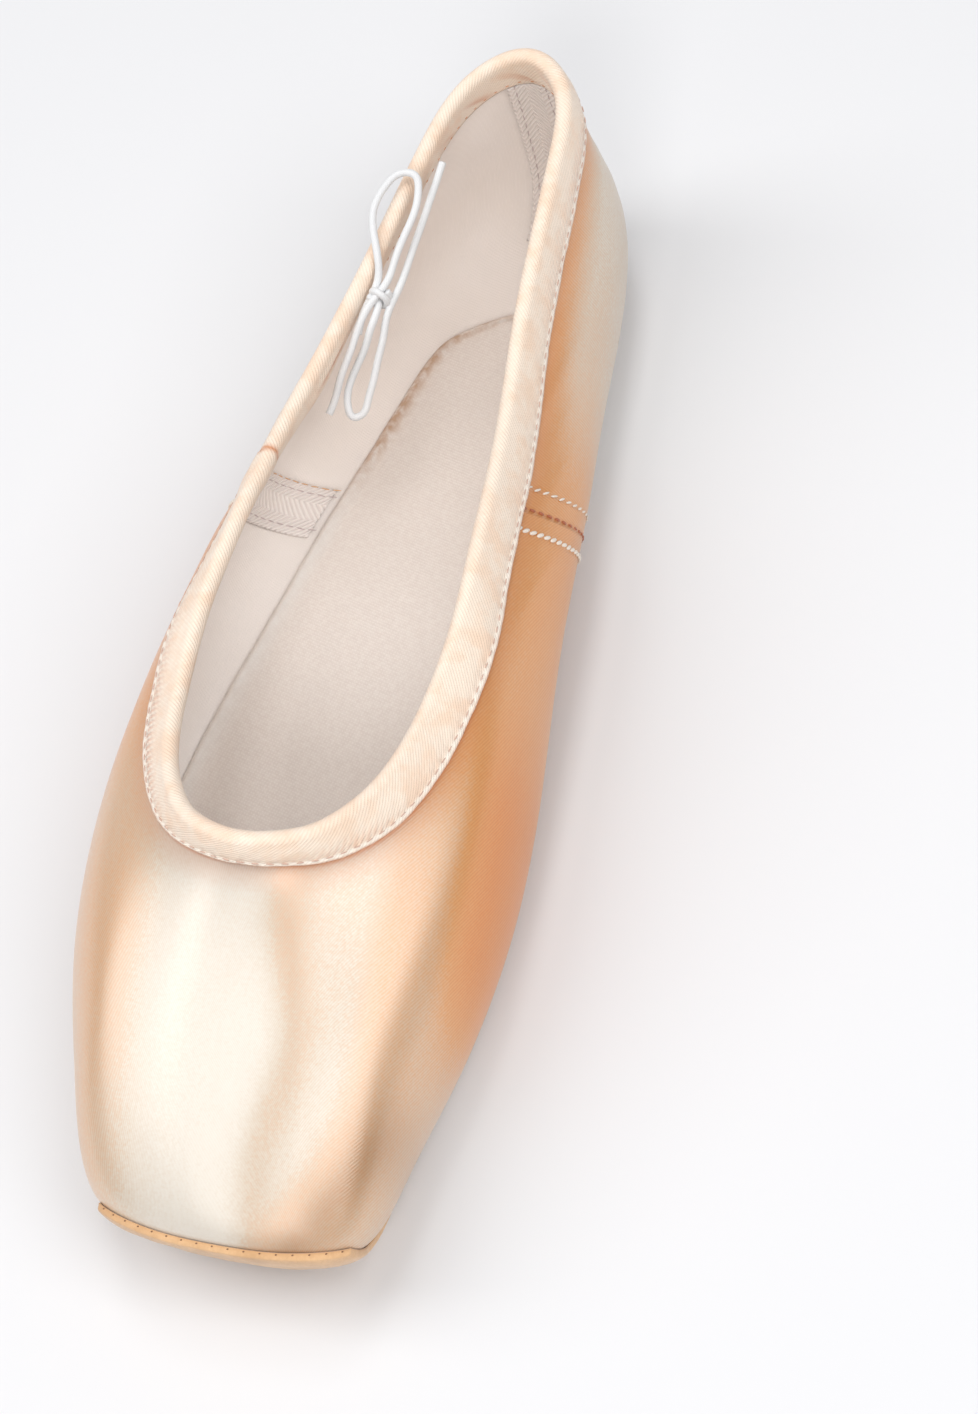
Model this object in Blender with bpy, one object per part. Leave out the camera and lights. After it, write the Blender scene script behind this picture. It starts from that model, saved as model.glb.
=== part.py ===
"""A pointe shoe standing on its sole: hollow satin upper, folded binding, suede toe patch and outsole,
insole, three inside tapes, and the drawstring tied in a bow at the collar.

Every shell is cut from one skin. Rows run from the opening under the foot, round the side and up to
the collar, and smooth curves join the rows round the shoe. The toe points to -Y and the heel to +Y.
"""

import bmesh
import bpy
import numpy as np
from mathutils import Matrix

# Driving sizes, in metres
SHOE_LENGTH = 0.240
BALL_WIDTH = 0.080
UPPER_HEIGHT = 0.0524
SIDEWAYS_SET = 0.0101
ARCH_RISE = 0.0042
TOE_SPRING = 0.0052
BOX_WALL = 0.0024
QUARTER_WALL = 0.0013
SOLE_WALL = 0.0020
OUTSOLE_THICKNESS = 0.0020
INSOLE_THICKNESS = 0.0018
BINDING_WIDTH = 0.0083
BINDING_TURNED_IN = 0.0070
BINDING_CLOTH = 0.0007
TAPE_THICKNESS = 0.0006
SEAM_TAPE_WIDTH = 0.013
TAPE_BELOW_BINDING = 0.0005
PATCH_THICKNESS = 0.0009
CORD_DIAMETER = 0.0015
GAP = 0.00035
SEAT_GAP = 0.0004

# Half sizes in millimetres, which the shares below are taken of
HALF_LENGTH = 500.0 * SHOE_LENGTH
HALF_WIDTH = 500.0 * BALL_WIDTH
HEIGHT = 1000.0 * UPPER_HEIGHT
SOLE_TOP = 1000.0 * OUTSOLE_THICKNESS
SKIN_BOTTOM = SOLE_TOP + 1000.0 * SEAT_GAP

# Detail of the meshes
STEPS_BETWEEN_ROWS = 3
FINE_STEPS = 16

LEVELS = ("opening", "edge", "low", "belly", "shoulder", "upper_side", "hem", "rim")

# One side of the skin, unbent, as shares of the half width, the half length and the upper's height
SKIN_ROWS = (
    ("toe_centre", (0, -0.721, 0), (0, -0.9, 0.004), (0, -0.97, 0.046), (0, -0.992, 0.202),
     (0, -0.997, 0.345), (0, -0.775, 0.634), (0, -0.517, 0.866), (0, -0.483, 0.996)),
    ("platform_side", (0.175, -0.715, 0), (0.3, -0.888, 0.004), (0.325, -0.958, 0.046), (0.362, -0.985, 0.202),
     (0.34, -0.987, 0.34), (0.275, -0.762, 0.637), (0.158, -0.509, 0.859), (0.135, -0.475, 0.985)),
    ("platform_corner", (0.325, -0.696, 0), (0.525, -0.833, 0.006), (0.57, -0.904, 0.05), (0.625, -0.943, 0.202),
     (0.6, -0.935, 0.351), (0.483, -0.729, 0.63), (0.318, -0.485, 0.84), (0.27, -0.454, 0.96)),
    ("wing_front", (0.475, -0.654, 0), (0.675, -0.733, 0.008), (0.75, -0.775, 0.078), (0.795, -0.792, 0.25),
     (0.755, -0.769, 0.441), (0.637, -0.646, 0.645), (0.465, -0.448, 0.811), (0.395, -0.412, 0.927)),
    ("wing", (0.6, -0.567, 0), (0.8, -0.608, 0.01), (0.885, -0.621, 0.097), (0.927, -0.625, 0.279),
     (0.88, -0.604, 0.479), (0.765, -0.525, 0.647), (0.603, -0.392, 0.773), (0.495, -0.35, 0.887)),
    ("ball", (0.675, -0.417, 0), (0.875, -0.417, 0.011), (0.97, -0.417, 0.111), (1, -0.417, 0.298),
     (0.96, -0.404, 0.485), (0.87, -0.358, 0.634), (0.735, -0.283, 0.733), (0.575, -0.242, 0.84)),
    ("fore_waist", (0.6, -0.183, 0), (0.825, -0.183, 0.015), (0.94, -0.183, 0.116), (0.98, -0.183, 0.288),
     (0.95, -0.175, 0.466), (0.88, -0.15, 0.599), (0.77, -0.108, 0.698), (0.617, -0.083, 0.79)),
    ("waist", (0.463, 0.067, 0), (0.688, 0.067, 0.023), (0.845, 0.067, 0.126), (0.91, 0.067, 0.288),
     (0.88, 0.067, 0.441), (0.807, 0.067, 0.55), (0.71, 0.067, 0.637), (0.605, 0.067, 0.76)),
    ("hind_waist", (0.362, 0.3, 0), (0.588, 0.3, 0.031), (0.76, 0.3, 0.135), (0.835, 0.3, 0.279),
     (0.815, 0.3, 0.403), (0.74, 0.3, 0.511), (0.64, 0.3, 0.611), (0.535, 0.3, 0.754)),
    ("heel_side", (0.275, 0.5, 0), (0.475, 0.533, 0.023), (0.647, 0.55, 0.126), (0.713, 0.554, 0.279),
     (0.688, 0.55, 0.435), (0.61, 0.546, 0.565), (0.515, 0.542, 0.685), (0.435, 0.542, 0.836)),
    ("heel_corner", (0.237, 0.625, 0), (0.412, 0.733, 0.023), (0.52, 0.796, 0.126), (0.555, 0.817, 0.298),
     (0.535, 0.817, 0.479), (0.475, 0.808, 0.634), (0.405, 0.802, 0.779), (0.348, 0.8, 0.933)),
    ("heel_round", (0.138, 0.667, 0), (0.237, 0.833, 0.023), (0.31, 0.921, 0.126), (0.34, 0.953, 0.307),
     (0.33, 0.953, 0.508), (0.305, 0.947, 0.676), (0.275, 0.941, 0.821), (0.245, 0.935, 0.977)),
    ("heel_back", (0, 0.683, 0), (0, 0.875, 0.023), (0, 0.963, 0.126), (0, 1.002, 0.317),
     (0, 1.006, 0.527), (0, 1.003, 0.695), (0, 0.998, 0.84), (0, 0.991, 1)),
)

# Where the soles end along each row, as a share of the way from the opening to the edge
OUTSOLE_SHARE = (0.27, 0.28, 0.42, 0.75, 0.75, 0.55, 0.55, 0.50, 0.50, 0.65, 0.65, 0.70, 0.70)
INSOLE_SHARE = (0.45, 0.45, 0.55, 0.90, 0.90, 0.95, 1.00, 0.80, 0.75, 0.75, 0.50, 0.35, 0.35)

# Sideways set of the middle line: y as a share of the half length, x as a share of the sideways set
MIDDLE_LINE = (
    (-1.0, 0.59), (-0.83, 0.26), (-0.625, 0.06), (-0.375, 0.0), (-0.08, 0.03),
    (0.21, 0.15), (0.415, 0.23), (0.625, 0.465), (0.83, 0.74), (1.01, 1.0),
)

# Arch, toe spring and toe box wall along the shoe, as shares of the half length
ARCH_FROM, ARCH_TO = -0.25, 0.467
SPRING_FROM, SPRING_SHARE = -0.60, 0.383
BOX_FROM, BOX_SHARE = -0.167, 0.333

# Colour and roughness
MATERIALS = {
    "satin": ((0.80, 0.50, 0.30), 0.35),
    "binding_tape": ((0.88, 0.66, 0.50), 0.80),
    "toe_suede": ((0.64, 0.37, 0.18), 0.95),
    "outsole_suede": ((0.47, 0.25, 0.13), 0.95),
    "insole_canvas": ((0.60, 0.51, 0.44), 0.90),
    "inside_tape": ((0.78, 0.71, 0.64), 0.85),
    "cord": ((0.80, 0.80, 0.80), 0.70),
}

# Suede toe patch: level, and how many rows it reaches to either side of the toe centre
PATCH_REACH = ((0.0, 3.0), (1.0, 2.9), (2.0, 2.35), (2.6, 2.0), (3.0, 1.9), (3.8, 1.75), (4.3, 1.65))
PATCH_TOP_LEVEL = 3.84
PATCH_CORNER_DROP = 0.35

# Binding at the throat: the share of its width that is lost at the middle, and how many rows that fades over
THROAT_NARROWING = 0.42
THROAT_ROWS = 3.4

# Side seams: place at the collar as a share of the half length, and the lean to the heel on the way down
SEAM_AT_RIM = 0.196
SEAM_LEAN = 0.35

# Drawstring routes in millimetres, each from the knot outwards
CORD_ROUTES = {
    "drawstring_loop_upper": (
        (-8.9, 67.3, 46.2), (-9.9, 70.8, 49.4), (-11.6, 75.5, 51.3), (-12.5, 79.5, 52.1), (-11.2, 84.8, 53.3),
        (-8.6, 88.0, 53.7), (-5.9, 87.8, 53.7), (-4.4, 84.8, 53.2), (-4.3, 81.0, 51.9), (-5.6, 76.4, 49.9),
        (-7.0, 71.4, 47.6), (-7.5, 67.6, 46.2),
    ),
    "drawstring_loop_lower": (
        (-9.0, 61.9, 43.6), (-9.8, 59.1, 42.0), (-10.8, 57.0, 39.4), (-12.2, 54.6, 36.8), (-13.8, 51.0, 34.0),
        (-13.8, 47.6, 31.8), (-12.3, 45.7, 30.6), (-10.9, 46.4, 30.6), (-10.0, 49.0, 31.8), (-9.2, 52.5, 34.2),
        (-8.6, 55.6, 36.6), (-7.8, 58.4, 39.2), (-7.5, 61.7, 42.0),
    ),
    "drawstring_end_upper": (
        (-5.6, 66.6, 44.6), (-5.0, 71.7, 45.4), (-4.6, 75.5, 46.2), (-3.9, 79.9, 47.4), (-3.1, 84.7, 49.0),
        (-2.4, 88.9, 50.4), (-1.9, 93.0, 51.4),
    ),
    "drawstring_end_lower": (
        (-10.8, 61.8, 44.4), (-12.1, 58.9, 42.6), (-13.3, 54.5, 40.0), (-14.9, 50.3, 36.8), (-16.0, 47.3, 33.6),
        (-16.9, 44.9, 32.0),
    ),
}
KNOT_CENTRE = (-8.9, 64.7, 44.6)
KNOT_SIZE = (2.4, 2.4, 2.0)


def smooth_step(value):
    """0 below 0, 1 above 1, and a soft rise between."""
    value = np.clip(value, 0.0, 1.0)
    return value * value * (3.0 - 2.0 * value)


def spline_bends(knots, points, period=None):
    """Second derivatives of the smoothest curve through the points at the knots."""
    count = len(knots)
    matrix = np.zeros((count, count))
    right = np.zeros_like(points)
    if period is None:
        steps = np.diff(knots)
        matrix[0, 0] = matrix[-1, -1] = 1.0
        inside = range(1, count - 1)
    else:
        steps = np.append(np.diff(knots), knots[0] + period - knots[-1])
        inside = range(count)
    for i in inside:
        before, after = (i - 1) % count, (i + 1) % count
        matrix[i, before] += steps[before]
        matrix[i, i] += 2.0 * (steps[before] + steps[i])
        matrix[i, after] += steps[i]
        right[i] = 6.0 * ((points[after] - points[i]) / steps[i] - (points[i] - points[before]) / steps[before])
    return np.linalg.solve(matrix, right.reshape(count, -1)).reshape(points.shape)


def spline_at(knots, points, bends, where, period=None):
    """The curve's points at the places asked for."""
    count = len(knots)
    where = np.asarray(where, float)
    ends = np.asarray(knots, float)
    if period is not None:
        ends = np.append(ends, ends[0] + period)
        where = (where - ends[0]) % period + ends[0]
    left = np.clip(np.searchsorted(ends, where, side="right") - 1, 0, len(ends) - 2)
    right = (left + 1) % count
    step = ends[left + 1] - ends[left]
    a = (ends[left + 1] - where) / step
    b = 1.0 - a
    shape = (-1,) + (1,) * (points.ndim - 1)
    a, b, step = a.reshape(shape), b.reshape(shape), step.reshape(shape)
    bend = ((a**3 - a) * bends[left] + (b**3 - b) * bends[right]) * step**2 / 6.0
    return a * points[left] + b * points[right] + bend


def curve_through(knots, points, where):
    knots, points = np.asarray(knots, float), np.asarray(points, float)
    return spline_at(knots, points, spline_bends(knots, points), where)


def row_curve(points):
    """A row's points joined by a smooth curve, with FINE_STEPS points from each level to the next."""
    gaps = np.sqrt(np.linalg.norm(np.diff(points, axis=0), axis=1))
    knots = np.append(0.0, np.cumsum(gaps))
    where = [np.linspace(a, b, FINE_STEPS, endpoint=False) for a, b in zip(knots[:-1], knots[1:])]
    return curve_through(knots, points, np.append(np.concatenate(where), knots[-1]))


def sized_rows():
    """The rows of the skin in millimetres, standing on the outsole."""
    sizes = np.array([HALF_WIDTH, HALF_LENGTH, HEIGHT])
    return [np.array(row[1:], float) * sizes + [0.0, 0.0, SKIN_BOTTOM] for row in SKIN_ROWS]


ONE_SIDE = np.array([row_curve(points) for points in sized_rows()])
ALL_ROWS = np.concatenate([ONE_SIDE, ONE_SIDE[1:-1][::-1] * np.array([-1.0, 1.0, 1.0])])
ROW_GAPS = np.sqrt(np.linalg.norm(np.roll(ALL_ROWS, -1, 0) - ALL_ROWS, axis=2)[:, int(3.5 * FINE_STEPS)])
ROW_KNOTS = np.append(0.0, np.cumsum(ROW_GAPS)[:-1]) / ROW_GAPS.sum()
ROW_BENDS = spline_bends(ROW_KNOTS, ALL_ROWS, 1.0)
FINE_LEVELS = np.linspace(0.0, len(LEVELS) - 1.0, ALL_ROWS.shape[1])
ROW_COUNT = len(ALL_ROWS)


def round_at(row_numbers):
    """Places round the shoe for row numbers, which count from the toe centre and may be negative."""
    knots = np.concatenate([ROW_KNOTS, [1.0]])
    numbers = np.asarray(row_numbers, float) % ROW_COUNT
    return np.interp(numbers, np.arange(ROW_COUNT + 1), knots)


ROUND = round_at(np.arange(ROW_COUNT * STEPS_BETWEEN_ROWS) / STEPS_BETWEEN_ROWS)


def skin_points(around, levels):
    """The unbent skin for paired places round the shoe and levels, both of one shape."""
    around, levels = np.broadcast_arrays(np.asarray(around, float), np.asarray(levels, float))
    low = np.clip(np.floor(levels * FINE_STEPS).astype(int), 0, len(FINE_LEVELS) - 2)
    share = (levels * FINE_STEPS - low)[..., None]
    flat = spline_at(ROW_KNOTS, ALL_ROWS, ROW_BENDS, around.ravel(), 1.0)
    flat = flat.reshape(around.shape + flat.shape[1:])
    first = np.take_along_axis(flat, low[..., None, None], axis=-2)[..., 0, :]
    second = np.take_along_axis(flat, low[..., None, None] + 1, axis=-2)[..., 0, :]
    return first * (1.0 - share) + second * share


def skin_normals(around, levels):
    """Outward normals of the unbent skin."""
    step = 0.004
    top = len(LEVELS) - 1.0
    along = skin_points(around, np.minimum(levels + 0.06, top)) - skin_points(around, np.maximum(levels - 0.06, 0.0))
    across = skin_points(around + step, levels) - skin_points(around - step, levels)
    normals = np.cross(across, along)
    normals = normals / np.linalg.norm(normals, axis=-1, keepdims=True)
    return normals


def wall_at(points, levels):
    """Wall thickness in millimetres: thick in the toe box and underneath, thin at the quarters and the collar."""
    forward = (BOX_FROM * HALF_LENGTH - points[..., 1]) / (BOX_SHARE * HALF_LENGTH)
    box = smooth_step(forward) * smooth_step((5.9 - levels) / 0.9)
    wall = QUARTER_WALL + (BOX_WALL - QUARTER_WALL) * box
    under = smooth_step((1.6 - levels) / 0.8)
    return 1000.0 * (wall * (1.0 - under) + SOLE_WALL * under)


def offset_skin(around, levels, outwards):
    return skin_points(around, levels) + skin_normals(around, levels) * np.asarray(outwards)[..., None]


def sole_rise(y):
    """Arch and toe spring in millimetres over the two flats of the sole."""
    share = y / HALF_LENGTH
    arch = np.clip((share - ARCH_FROM) / (ARCH_TO - ARCH_FROM), 0.0, 1.0)
    spring = np.clip((SPRING_FROM - share) / SPRING_SHARE, 0.0, 1.2)
    return 1000.0 * (ARCH_RISE * np.sin(np.pi * arch) ** 2 + TOE_SPRING * spring**1.8)


def bend_shoe(points):
    """Lays unbent points along the middle line, over the arch and the toe spring."""
    points = np.array(points, float)
    y = points[..., 1].copy()
    table = np.array(MIDDLE_LINE, float) * [HALF_LENGTH, 1000.0 * SIDEWAYS_SET]
    sideways = curve_through(table[:, 0], table[:, 1], y.ravel())
    points[..., 0] += sideways.reshape(y.shape)
    points[..., 2] += sole_rise(y)
    return points


def cloth_material(name):
    """The material of this name, with its colour and roughness from MATERIALS."""
    if name in bpy.data.materials:
        return bpy.data.materials[name]
    colour, roughness = MATERIALS[name]
    material = bpy.data.materials.new(name)
    material.use_nodes = True
    shader = material.node_tree.nodes["Principled BSDF"]
    shader.inputs["Base Color"].default_value = (*colour, 1.0)
    shader.inputs["Roughness"].default_value = roughness
    shader.inputs["Metallic"].default_value = 0.0
    return material


def add_piece(name, material, points, faces):
    """One closed mesh in metres, made from points in millimetres."""
    mesh = bpy.data.meshes.new(name)
    mesh.from_pydata((np.asarray(points) / 1000.0).tolist(), [], faces)
    mesh.materials.append(cloth_material(material))
    mesh.shade_smooth()
    mesh.set_sharp_from_angle(angle=np.radians(40.0))
    mesh.update()
    piece = bpy.data.objects.new(name, mesh)
    bpy.context.scene.collection.objects.link(piece)
    return piece


def ring_faces(rings, count, closed_profile):
    """Quads between rings of one count each, every ring going round the shoe."""
    faces = []
    last = rings if closed_profile else rings - 1
    for r in range(last):
        upper = (r + 1) % rings
        for i in range(count):
            j = (i + 1) % count
            faces.append((r * count + i, r * count + j, upper * count + j, upper * count + i))
    return faces


def sheet_solid(outer, inner):
    """Points and faces of a closed slab between two grids of one shape."""
    rows, columns = outer.shape[:2]
    size = rows * columns
    points = np.concatenate([outer.reshape(-1, 3), inner.reshape(-1, 3)])
    faces = []
    for r in range(rows - 1):
        for c in range(columns - 1):
            a, b = r * columns + c, r * columns + c + 1
            d, e = (r + 1) * columns + c, (r + 1) * columns + c + 1
            faces.append((a, b, e, d))
            faces.append((size + a, size + d, size + e, size + b))
    border = [c for c in range(columns)]
    border += [r * columns + columns - 1 for r in range(1, rows)]
    border += [(rows - 1) * columns + c for c in range(columns - 2, -1, -1)]
    border += [r * columns for r in range(rows - 2, 0, -1)]
    for a, b in zip(border, border[1:] + border[:1]):
        faces.append((b, a, size + a, size + b))
    return points, faces


def facing_out(points, faces):
    """The faces turned so that the closed shape has a positive volume."""
    points = np.asarray(points)
    volume = 0.0
    for face in faces:
        for k in range(1, len(face) - 1):
            volume += np.dot(points[face[0]], np.cross(points[face[k]], points[face[k + 1]]))
    return faces if volume > 0 else [tuple(reversed(face)) for face in faces]


def make_upper():
    levels = np.array([0, 0.5, 1.0, 1.35, 1.7, 2.0, 2.35, 2.7, 3.0, 3.35, 3.7, 4.0, 4.3, 4.65, 5.0, 5.35, 5.7, 6.0, 6.5, 7.0])
    around = ROUND[None, :]
    outer = skin_points(around, levels[:, None])
    walls = wall_at(outer, levels[:, None])
    inner = outer - skin_normals(around + 0 * levels[:, None], levels[:, None] + 0 * around) * walls[..., None]
    rings = np.concatenate([outer, inner[::-1]])
    faces = ring_faces(len(rings), len(ROUND), True)
    points = bend_shoe(rings).reshape(-1, 3)
    return add_piece("upper", "satin", points, facing_out(points, faces))


def level_below_rim(around, distance):
    """The level at each place round the shoe that lies this far down from the collar, in millimetres."""
    levels = np.linspace(3.5, 7.0, 71)
    lines = skin_points(around[:, None], levels[None, :])
    lengths = np.linalg.norm(np.diff(lines, axis=1), axis=2)
    down = np.concatenate([np.cumsum(lengths[:, ::-1], axis=1)[:, ::-1], np.zeros((len(around), 1))], axis=1)
    distances = np.broadcast_to(distance, len(around))
    return np.array([np.interp(one, row[::-1], levels[::-1]) for one, row in zip(distances, down)])


def collar_ring(down, outwards):
    """A ring at a distance down from the collar, past it when negative, and a height over the skin."""
    numbers = np.arange(len(ROUND)) / STEPS_BETWEEN_ROWS
    numbers = np.minimum(numbers, ROW_COUNT - numbers)
    share = 1.0 - THROAT_NARROWING * np.exp(-((numbers / THROAT_ROWS) ** 2)) * (outwards > 0)
    levels = level_below_rim(ROUND, max(down, 0.0) * share)
    ring = offset_skin(ROUND, levels, np.full(len(ROUND), outwards))
    if down < 0:
        top = skin_points(ROUND, np.full(len(ROUND), 7.0))
        below = skin_points(ROUND, level_below_rim(ROUND, 200.0 * BINDING_TURNED_IN))
        upwards = (top - below) / np.linalg.norm(top - below, axis=1, keepdims=True)
        ring = ring - upwards * down
    return ring


def make_binding():
    wall, gap = 1000.0 * QUARTER_WALL, 1000.0 * GAP
    cloth = 1000.0 * BINDING_CLOTH
    out, turned = 1000.0 * BINDING_WIDTH, 1000.0 * BINDING_TURNED_IN
    far, near = gap + cloth, gap
    inner_near, inner_far = -wall - gap, -wall - gap - cloth
    middle = -0.5 * wall
    start, soft, top, flat = 0.4 * cloth, 0.35 * cloth, -1.85 * cloth, 1.05 * cloth
    inside = 0.5 * top + 0.2 * cloth
    profile = [
        (out, far), (out / 2, far), (start, far), (0.62 * top, far - soft), (top, middle + flat), (top, middle - flat),
        (0.62 * top, inner_far + soft), (start, inner_far), (turned / 2, inner_far), (turned, inner_far),
        (turned, inner_near), (turned / 2, inner_near), (start, inner_near), (inside, inner_near + soft),
        (inside - 0.2 * cloth, middle), (inside, near - soft), (start, near), (out / 2, near), (out, near),
    ]
    rings = np.array([collar_ring(down, outwards) for down, outwards in profile])
    faces = ring_faces(len(rings), len(ROUND), True)
    points = bend_shoe(rings).reshape(-1, 3)
    return add_piece("binding", "binding_tape", points, facing_out(points, faces))


def sole_outline(shares):
    """The unbent outline of a sole on the skin, one point for each place round the shoe."""
    both = list(shares) + list(shares[1:-1][::-1])
    knots = np.arange(len(both), dtype=float)
    table = np.array(both, float)
    where = np.arange(ROW_COUNT * STEPS_BETWEEN_ROWS) / STEPS_BETWEEN_ROWS
    found = spline_at(knots, table, spline_bends(knots, table, float(len(both))), where, float(len(both)))
    return skin_points(ROUND, np.clip(found, 0.0, 1.2)), np.clip(found, 0.0, 1.2)


def filled_ring(ring, across=3):
    """Rows of points from each place on the right to its mirror place on the left, as a grid over the ring."""
    half = len(ring) // 2
    shares = np.linspace(0.0, 1.0, across + 2)
    rows = []
    for i in range(1, half):
        right, left = ring[i], ring[-i]
        rows.append([right + (left - right) * share for share in shares])
    return rows


def plate_from_rings(name, material, rings, top_heights, bottom_heights):
    """A solid from rings that run from its top outline to its bottom outline; both ends are filled across."""
    count = len(rings[0])
    points = [point for ring in rings for point in ring]
    faces = ring_faces(len(rings), count, False)
    for start, ring, heights, flip in (
        (0, rings[0], top_heights, False),
        ((len(rings) - 1) * count, rings[-1], bottom_heights, True),
    ):
        half = count // 2
        rows = filled_ring(ring)
        numbers = []
        for i, row in enumerate(rows, start=1):
            line = [start + i]
            for point in row[1:-1]:
                point = np.array(point)
                point[2] = heights(point)
                line.append(len(points))
                points.append(point)
            line.append(start + count - i)
            numbers.append(line)
        cap = []
        for one, two in zip(numbers[:-1], numbers[1:]):
            for k in range(len(one) - 1):
                cap.append((one[k], one[k + 1], two[k + 1], two[k]))
        for k in range(len(numbers[0]) - 1):
            cap.append((start, numbers[0][k + 1], numbers[0][k]))
            cap.append((start + half, numbers[-1][k], numbers[-1][k + 1]))
        faces += [tuple(reversed(face)) for face in cap] if flip else cap
    points = bend_shoe(np.array(points))
    return add_piece(name, material, points, facing_out(points, faces))


def at_height(ring, height):
    ring = np.array(ring)
    ring[:, 2] = height
    return ring


def make_outsole():
    outline, _ = sole_outline(OUTSOLE_SHARE)
    rings = [at_height(outline, SOLE_TOP), at_height(outline, 0.0)]
    return plate_from_rings("outsole", "outsole_suede", rings, lambda point: SOLE_TOP, lambda point: 0.0)


def make_insole():
    outline, levels = sole_outline(INSOLE_SHARE)
    thick, gap = 1000.0 * INSOLE_THICKNESS, 1000.0 * GAP
    floor = skin_points(ROUND, levels)[:, 2] + 1000.0 * SOLE_WALL
    lowest = SKIN_BOTTOM + 1000.0 * SOLE_WALL + gap
    edge = np.maximum(floor + gap + 1000.0 * SEAT_GAP, lowest)
    opening = skin_points(ROUND, np.zeros(len(ROUND)))
    core = opening.copy()
    ahead = np.roll(core, -1, 0) - np.roll(core, 1, 0)
    sideways = np.stack([-ahead[:, 1], ahead[:, 0]], axis=1)
    sideways /= np.linalg.norm(sideways, axis=1, keepdims=True)
    core[:, :2] += sideways * 2.0 * gap
    top = outline.copy()
    top[:, 2] = edge + thick
    bottom = outline.copy()
    bottom[:, 2] = edge
    core_top = at_height(core, lowest)
    core_bottom = at_height(core, SOLE_TOP + gap)
    rings = [top, bottom, core_top, core_bottom]
    return plate_from_rings("insole", "insole_canvas", rings, lambda point: lowest + thick, lambda point: SOLE_TOP + gap)


def make_toe_suede():
    reach = np.array(PATCH_REACH)
    columns = np.linspace(-1.0, 1.0, 19)
    shares = np.array([0.0, 0.12, 0.25, 0.36, 0.45, 0.54, 0.62, 0.70, 0.78, 0.86, 0.93, 1.0])
    _, outsole_levels = sole_outline(OUTSOLE_SHARE)
    around = np.zeros((len(shares), len(columns)))
    levels = np.zeros_like(around)
    for c, column in enumerate(columns):
        start_row = column * reach[0, 1]
        start = np.interp(round_at(start_row), np.append(ROUND, 1.0), np.append(outsole_levels, outsole_levels[0]))
        start += 0.06
        for s, share in enumerate(shares):
            level = start + (PATCH_TOP_LEVEL - PATCH_CORNER_DROP * abs(column) ** 6 - start) * share
            levels[s, c] = level
            row = column * np.interp(level, reach[:, 0], reach[:, 1])
            around[s, c] = round_at(row)
    gap = 1000.0 * SEAT_GAP
    near = offset_skin(around, levels, np.full(around.shape, gap))
    far = offset_skin(around, levels, np.full(around.shape, gap + 1000.0 * PATCH_THICKNESS))
    points, faces = sheet_solid(bend_shoe(far), bend_shoe(near))
    return add_piece("toe_suede", "toe_suede", points, facing_out(points, faces))


def tape_solid(name, around, levels):
    points = skin_points(around, levels)
    near = -wall_at(points, levels) - 1000.0 * GAP
    outer = offset_skin(around, levels, near)
    inner = offset_skin(around, levels, near - 1000.0 * TAPE_THICKNESS)
    points, faces = sheet_solid(bend_shoe(outer), bend_shoe(inner))
    return add_piece(name, "inside_tape", points, facing_out(points, faces))


def make_heel_tape():
    half = len(ROUND) // 2
    columns = ROUND[half - 2 : half + 3]
    top = level_below_rim(columns, 1000.0 * (BINDING_TURNED_IN + TAPE_BELOW_BINDING))
    shares = np.linspace(0.0, 1.0, 12)
    levels = 1.15 + (top[None, :] - 1.15) * shares[:, None]
    return tape_solid("heel_tape", columns[None, :] + 0 * levels, levels)


def make_seam_tape(name, side):
    """A tape over the seam, inside, from under the binding to the insole's edge."""
    search = round_at(side * np.linspace(6.0, 9.5, 141))
    rim_height = skin_points(np.array([round_at(side * 7.5)]), np.array([7.0]))[0, 2]
    top = level_below_rim(np.array([round_at(side * 7.5)]), 1000.0 * (BINDING_TURNED_IN + TAPE_BELOW_BINDING))[0]
    levels = np.linspace(1.12, top, 14)
    around = np.zeros((len(levels), 4))
    for i, level in enumerate(levels):
        line = skin_points(search, np.full(len(search), level))
        middle = SEAM_AT_RIM * HALF_LENGTH + SEAM_LEAN * (rim_height - line[:, 2])
        for c, share in enumerate((-0.5, -0.17, 0.17, 0.5)):
            apart = line[:, 1] - middle - share * 1000.0 * SEAM_TAPE_WIDTH
            order = np.argsort(apart)
            unwrapped = np.where(search > 0.5, search - 1.0, search) if side < 0 else search
            around[i, c] = np.interp(0.0, apart[order], unwrapped[order])
    return tape_solid(name, around, np.repeat(levels[:, None], 4, axis=1))


def add_cord(name, route):
    """A round cord with filled ends on a smooth curve through its route."""
    route = np.array(route, float)
    lengths = np.append(0.0, np.cumsum(np.linalg.norm(np.diff(route, axis=0), axis=1)))
    count = int(lengths[-1] / (2000.0 * CORD_DIAMETER)) + 2
    line = curve_through(lengths, route, np.linspace(0.0, lengths[-1], count)) / 1000.0
    curve = bpy.data.curves.new(name, "CURVE")
    curve.dimensions = "3D"
    curve.bevel_depth = CORD_DIAMETER / 2.0
    curve.bevel_resolution = 2
    curve.use_fill_caps = True
    spline = curve.splines.new("POLY")
    spline.points.add(count - 1)
    for point, place in zip(spline.points, line):
        point.co = (*place, 1.0)
    curve.materials.append(cloth_material("cord"))
    cord = bpy.data.objects.new(name, curve)
    bpy.context.scene.collection.objects.link(cord)
    return cord


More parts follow.
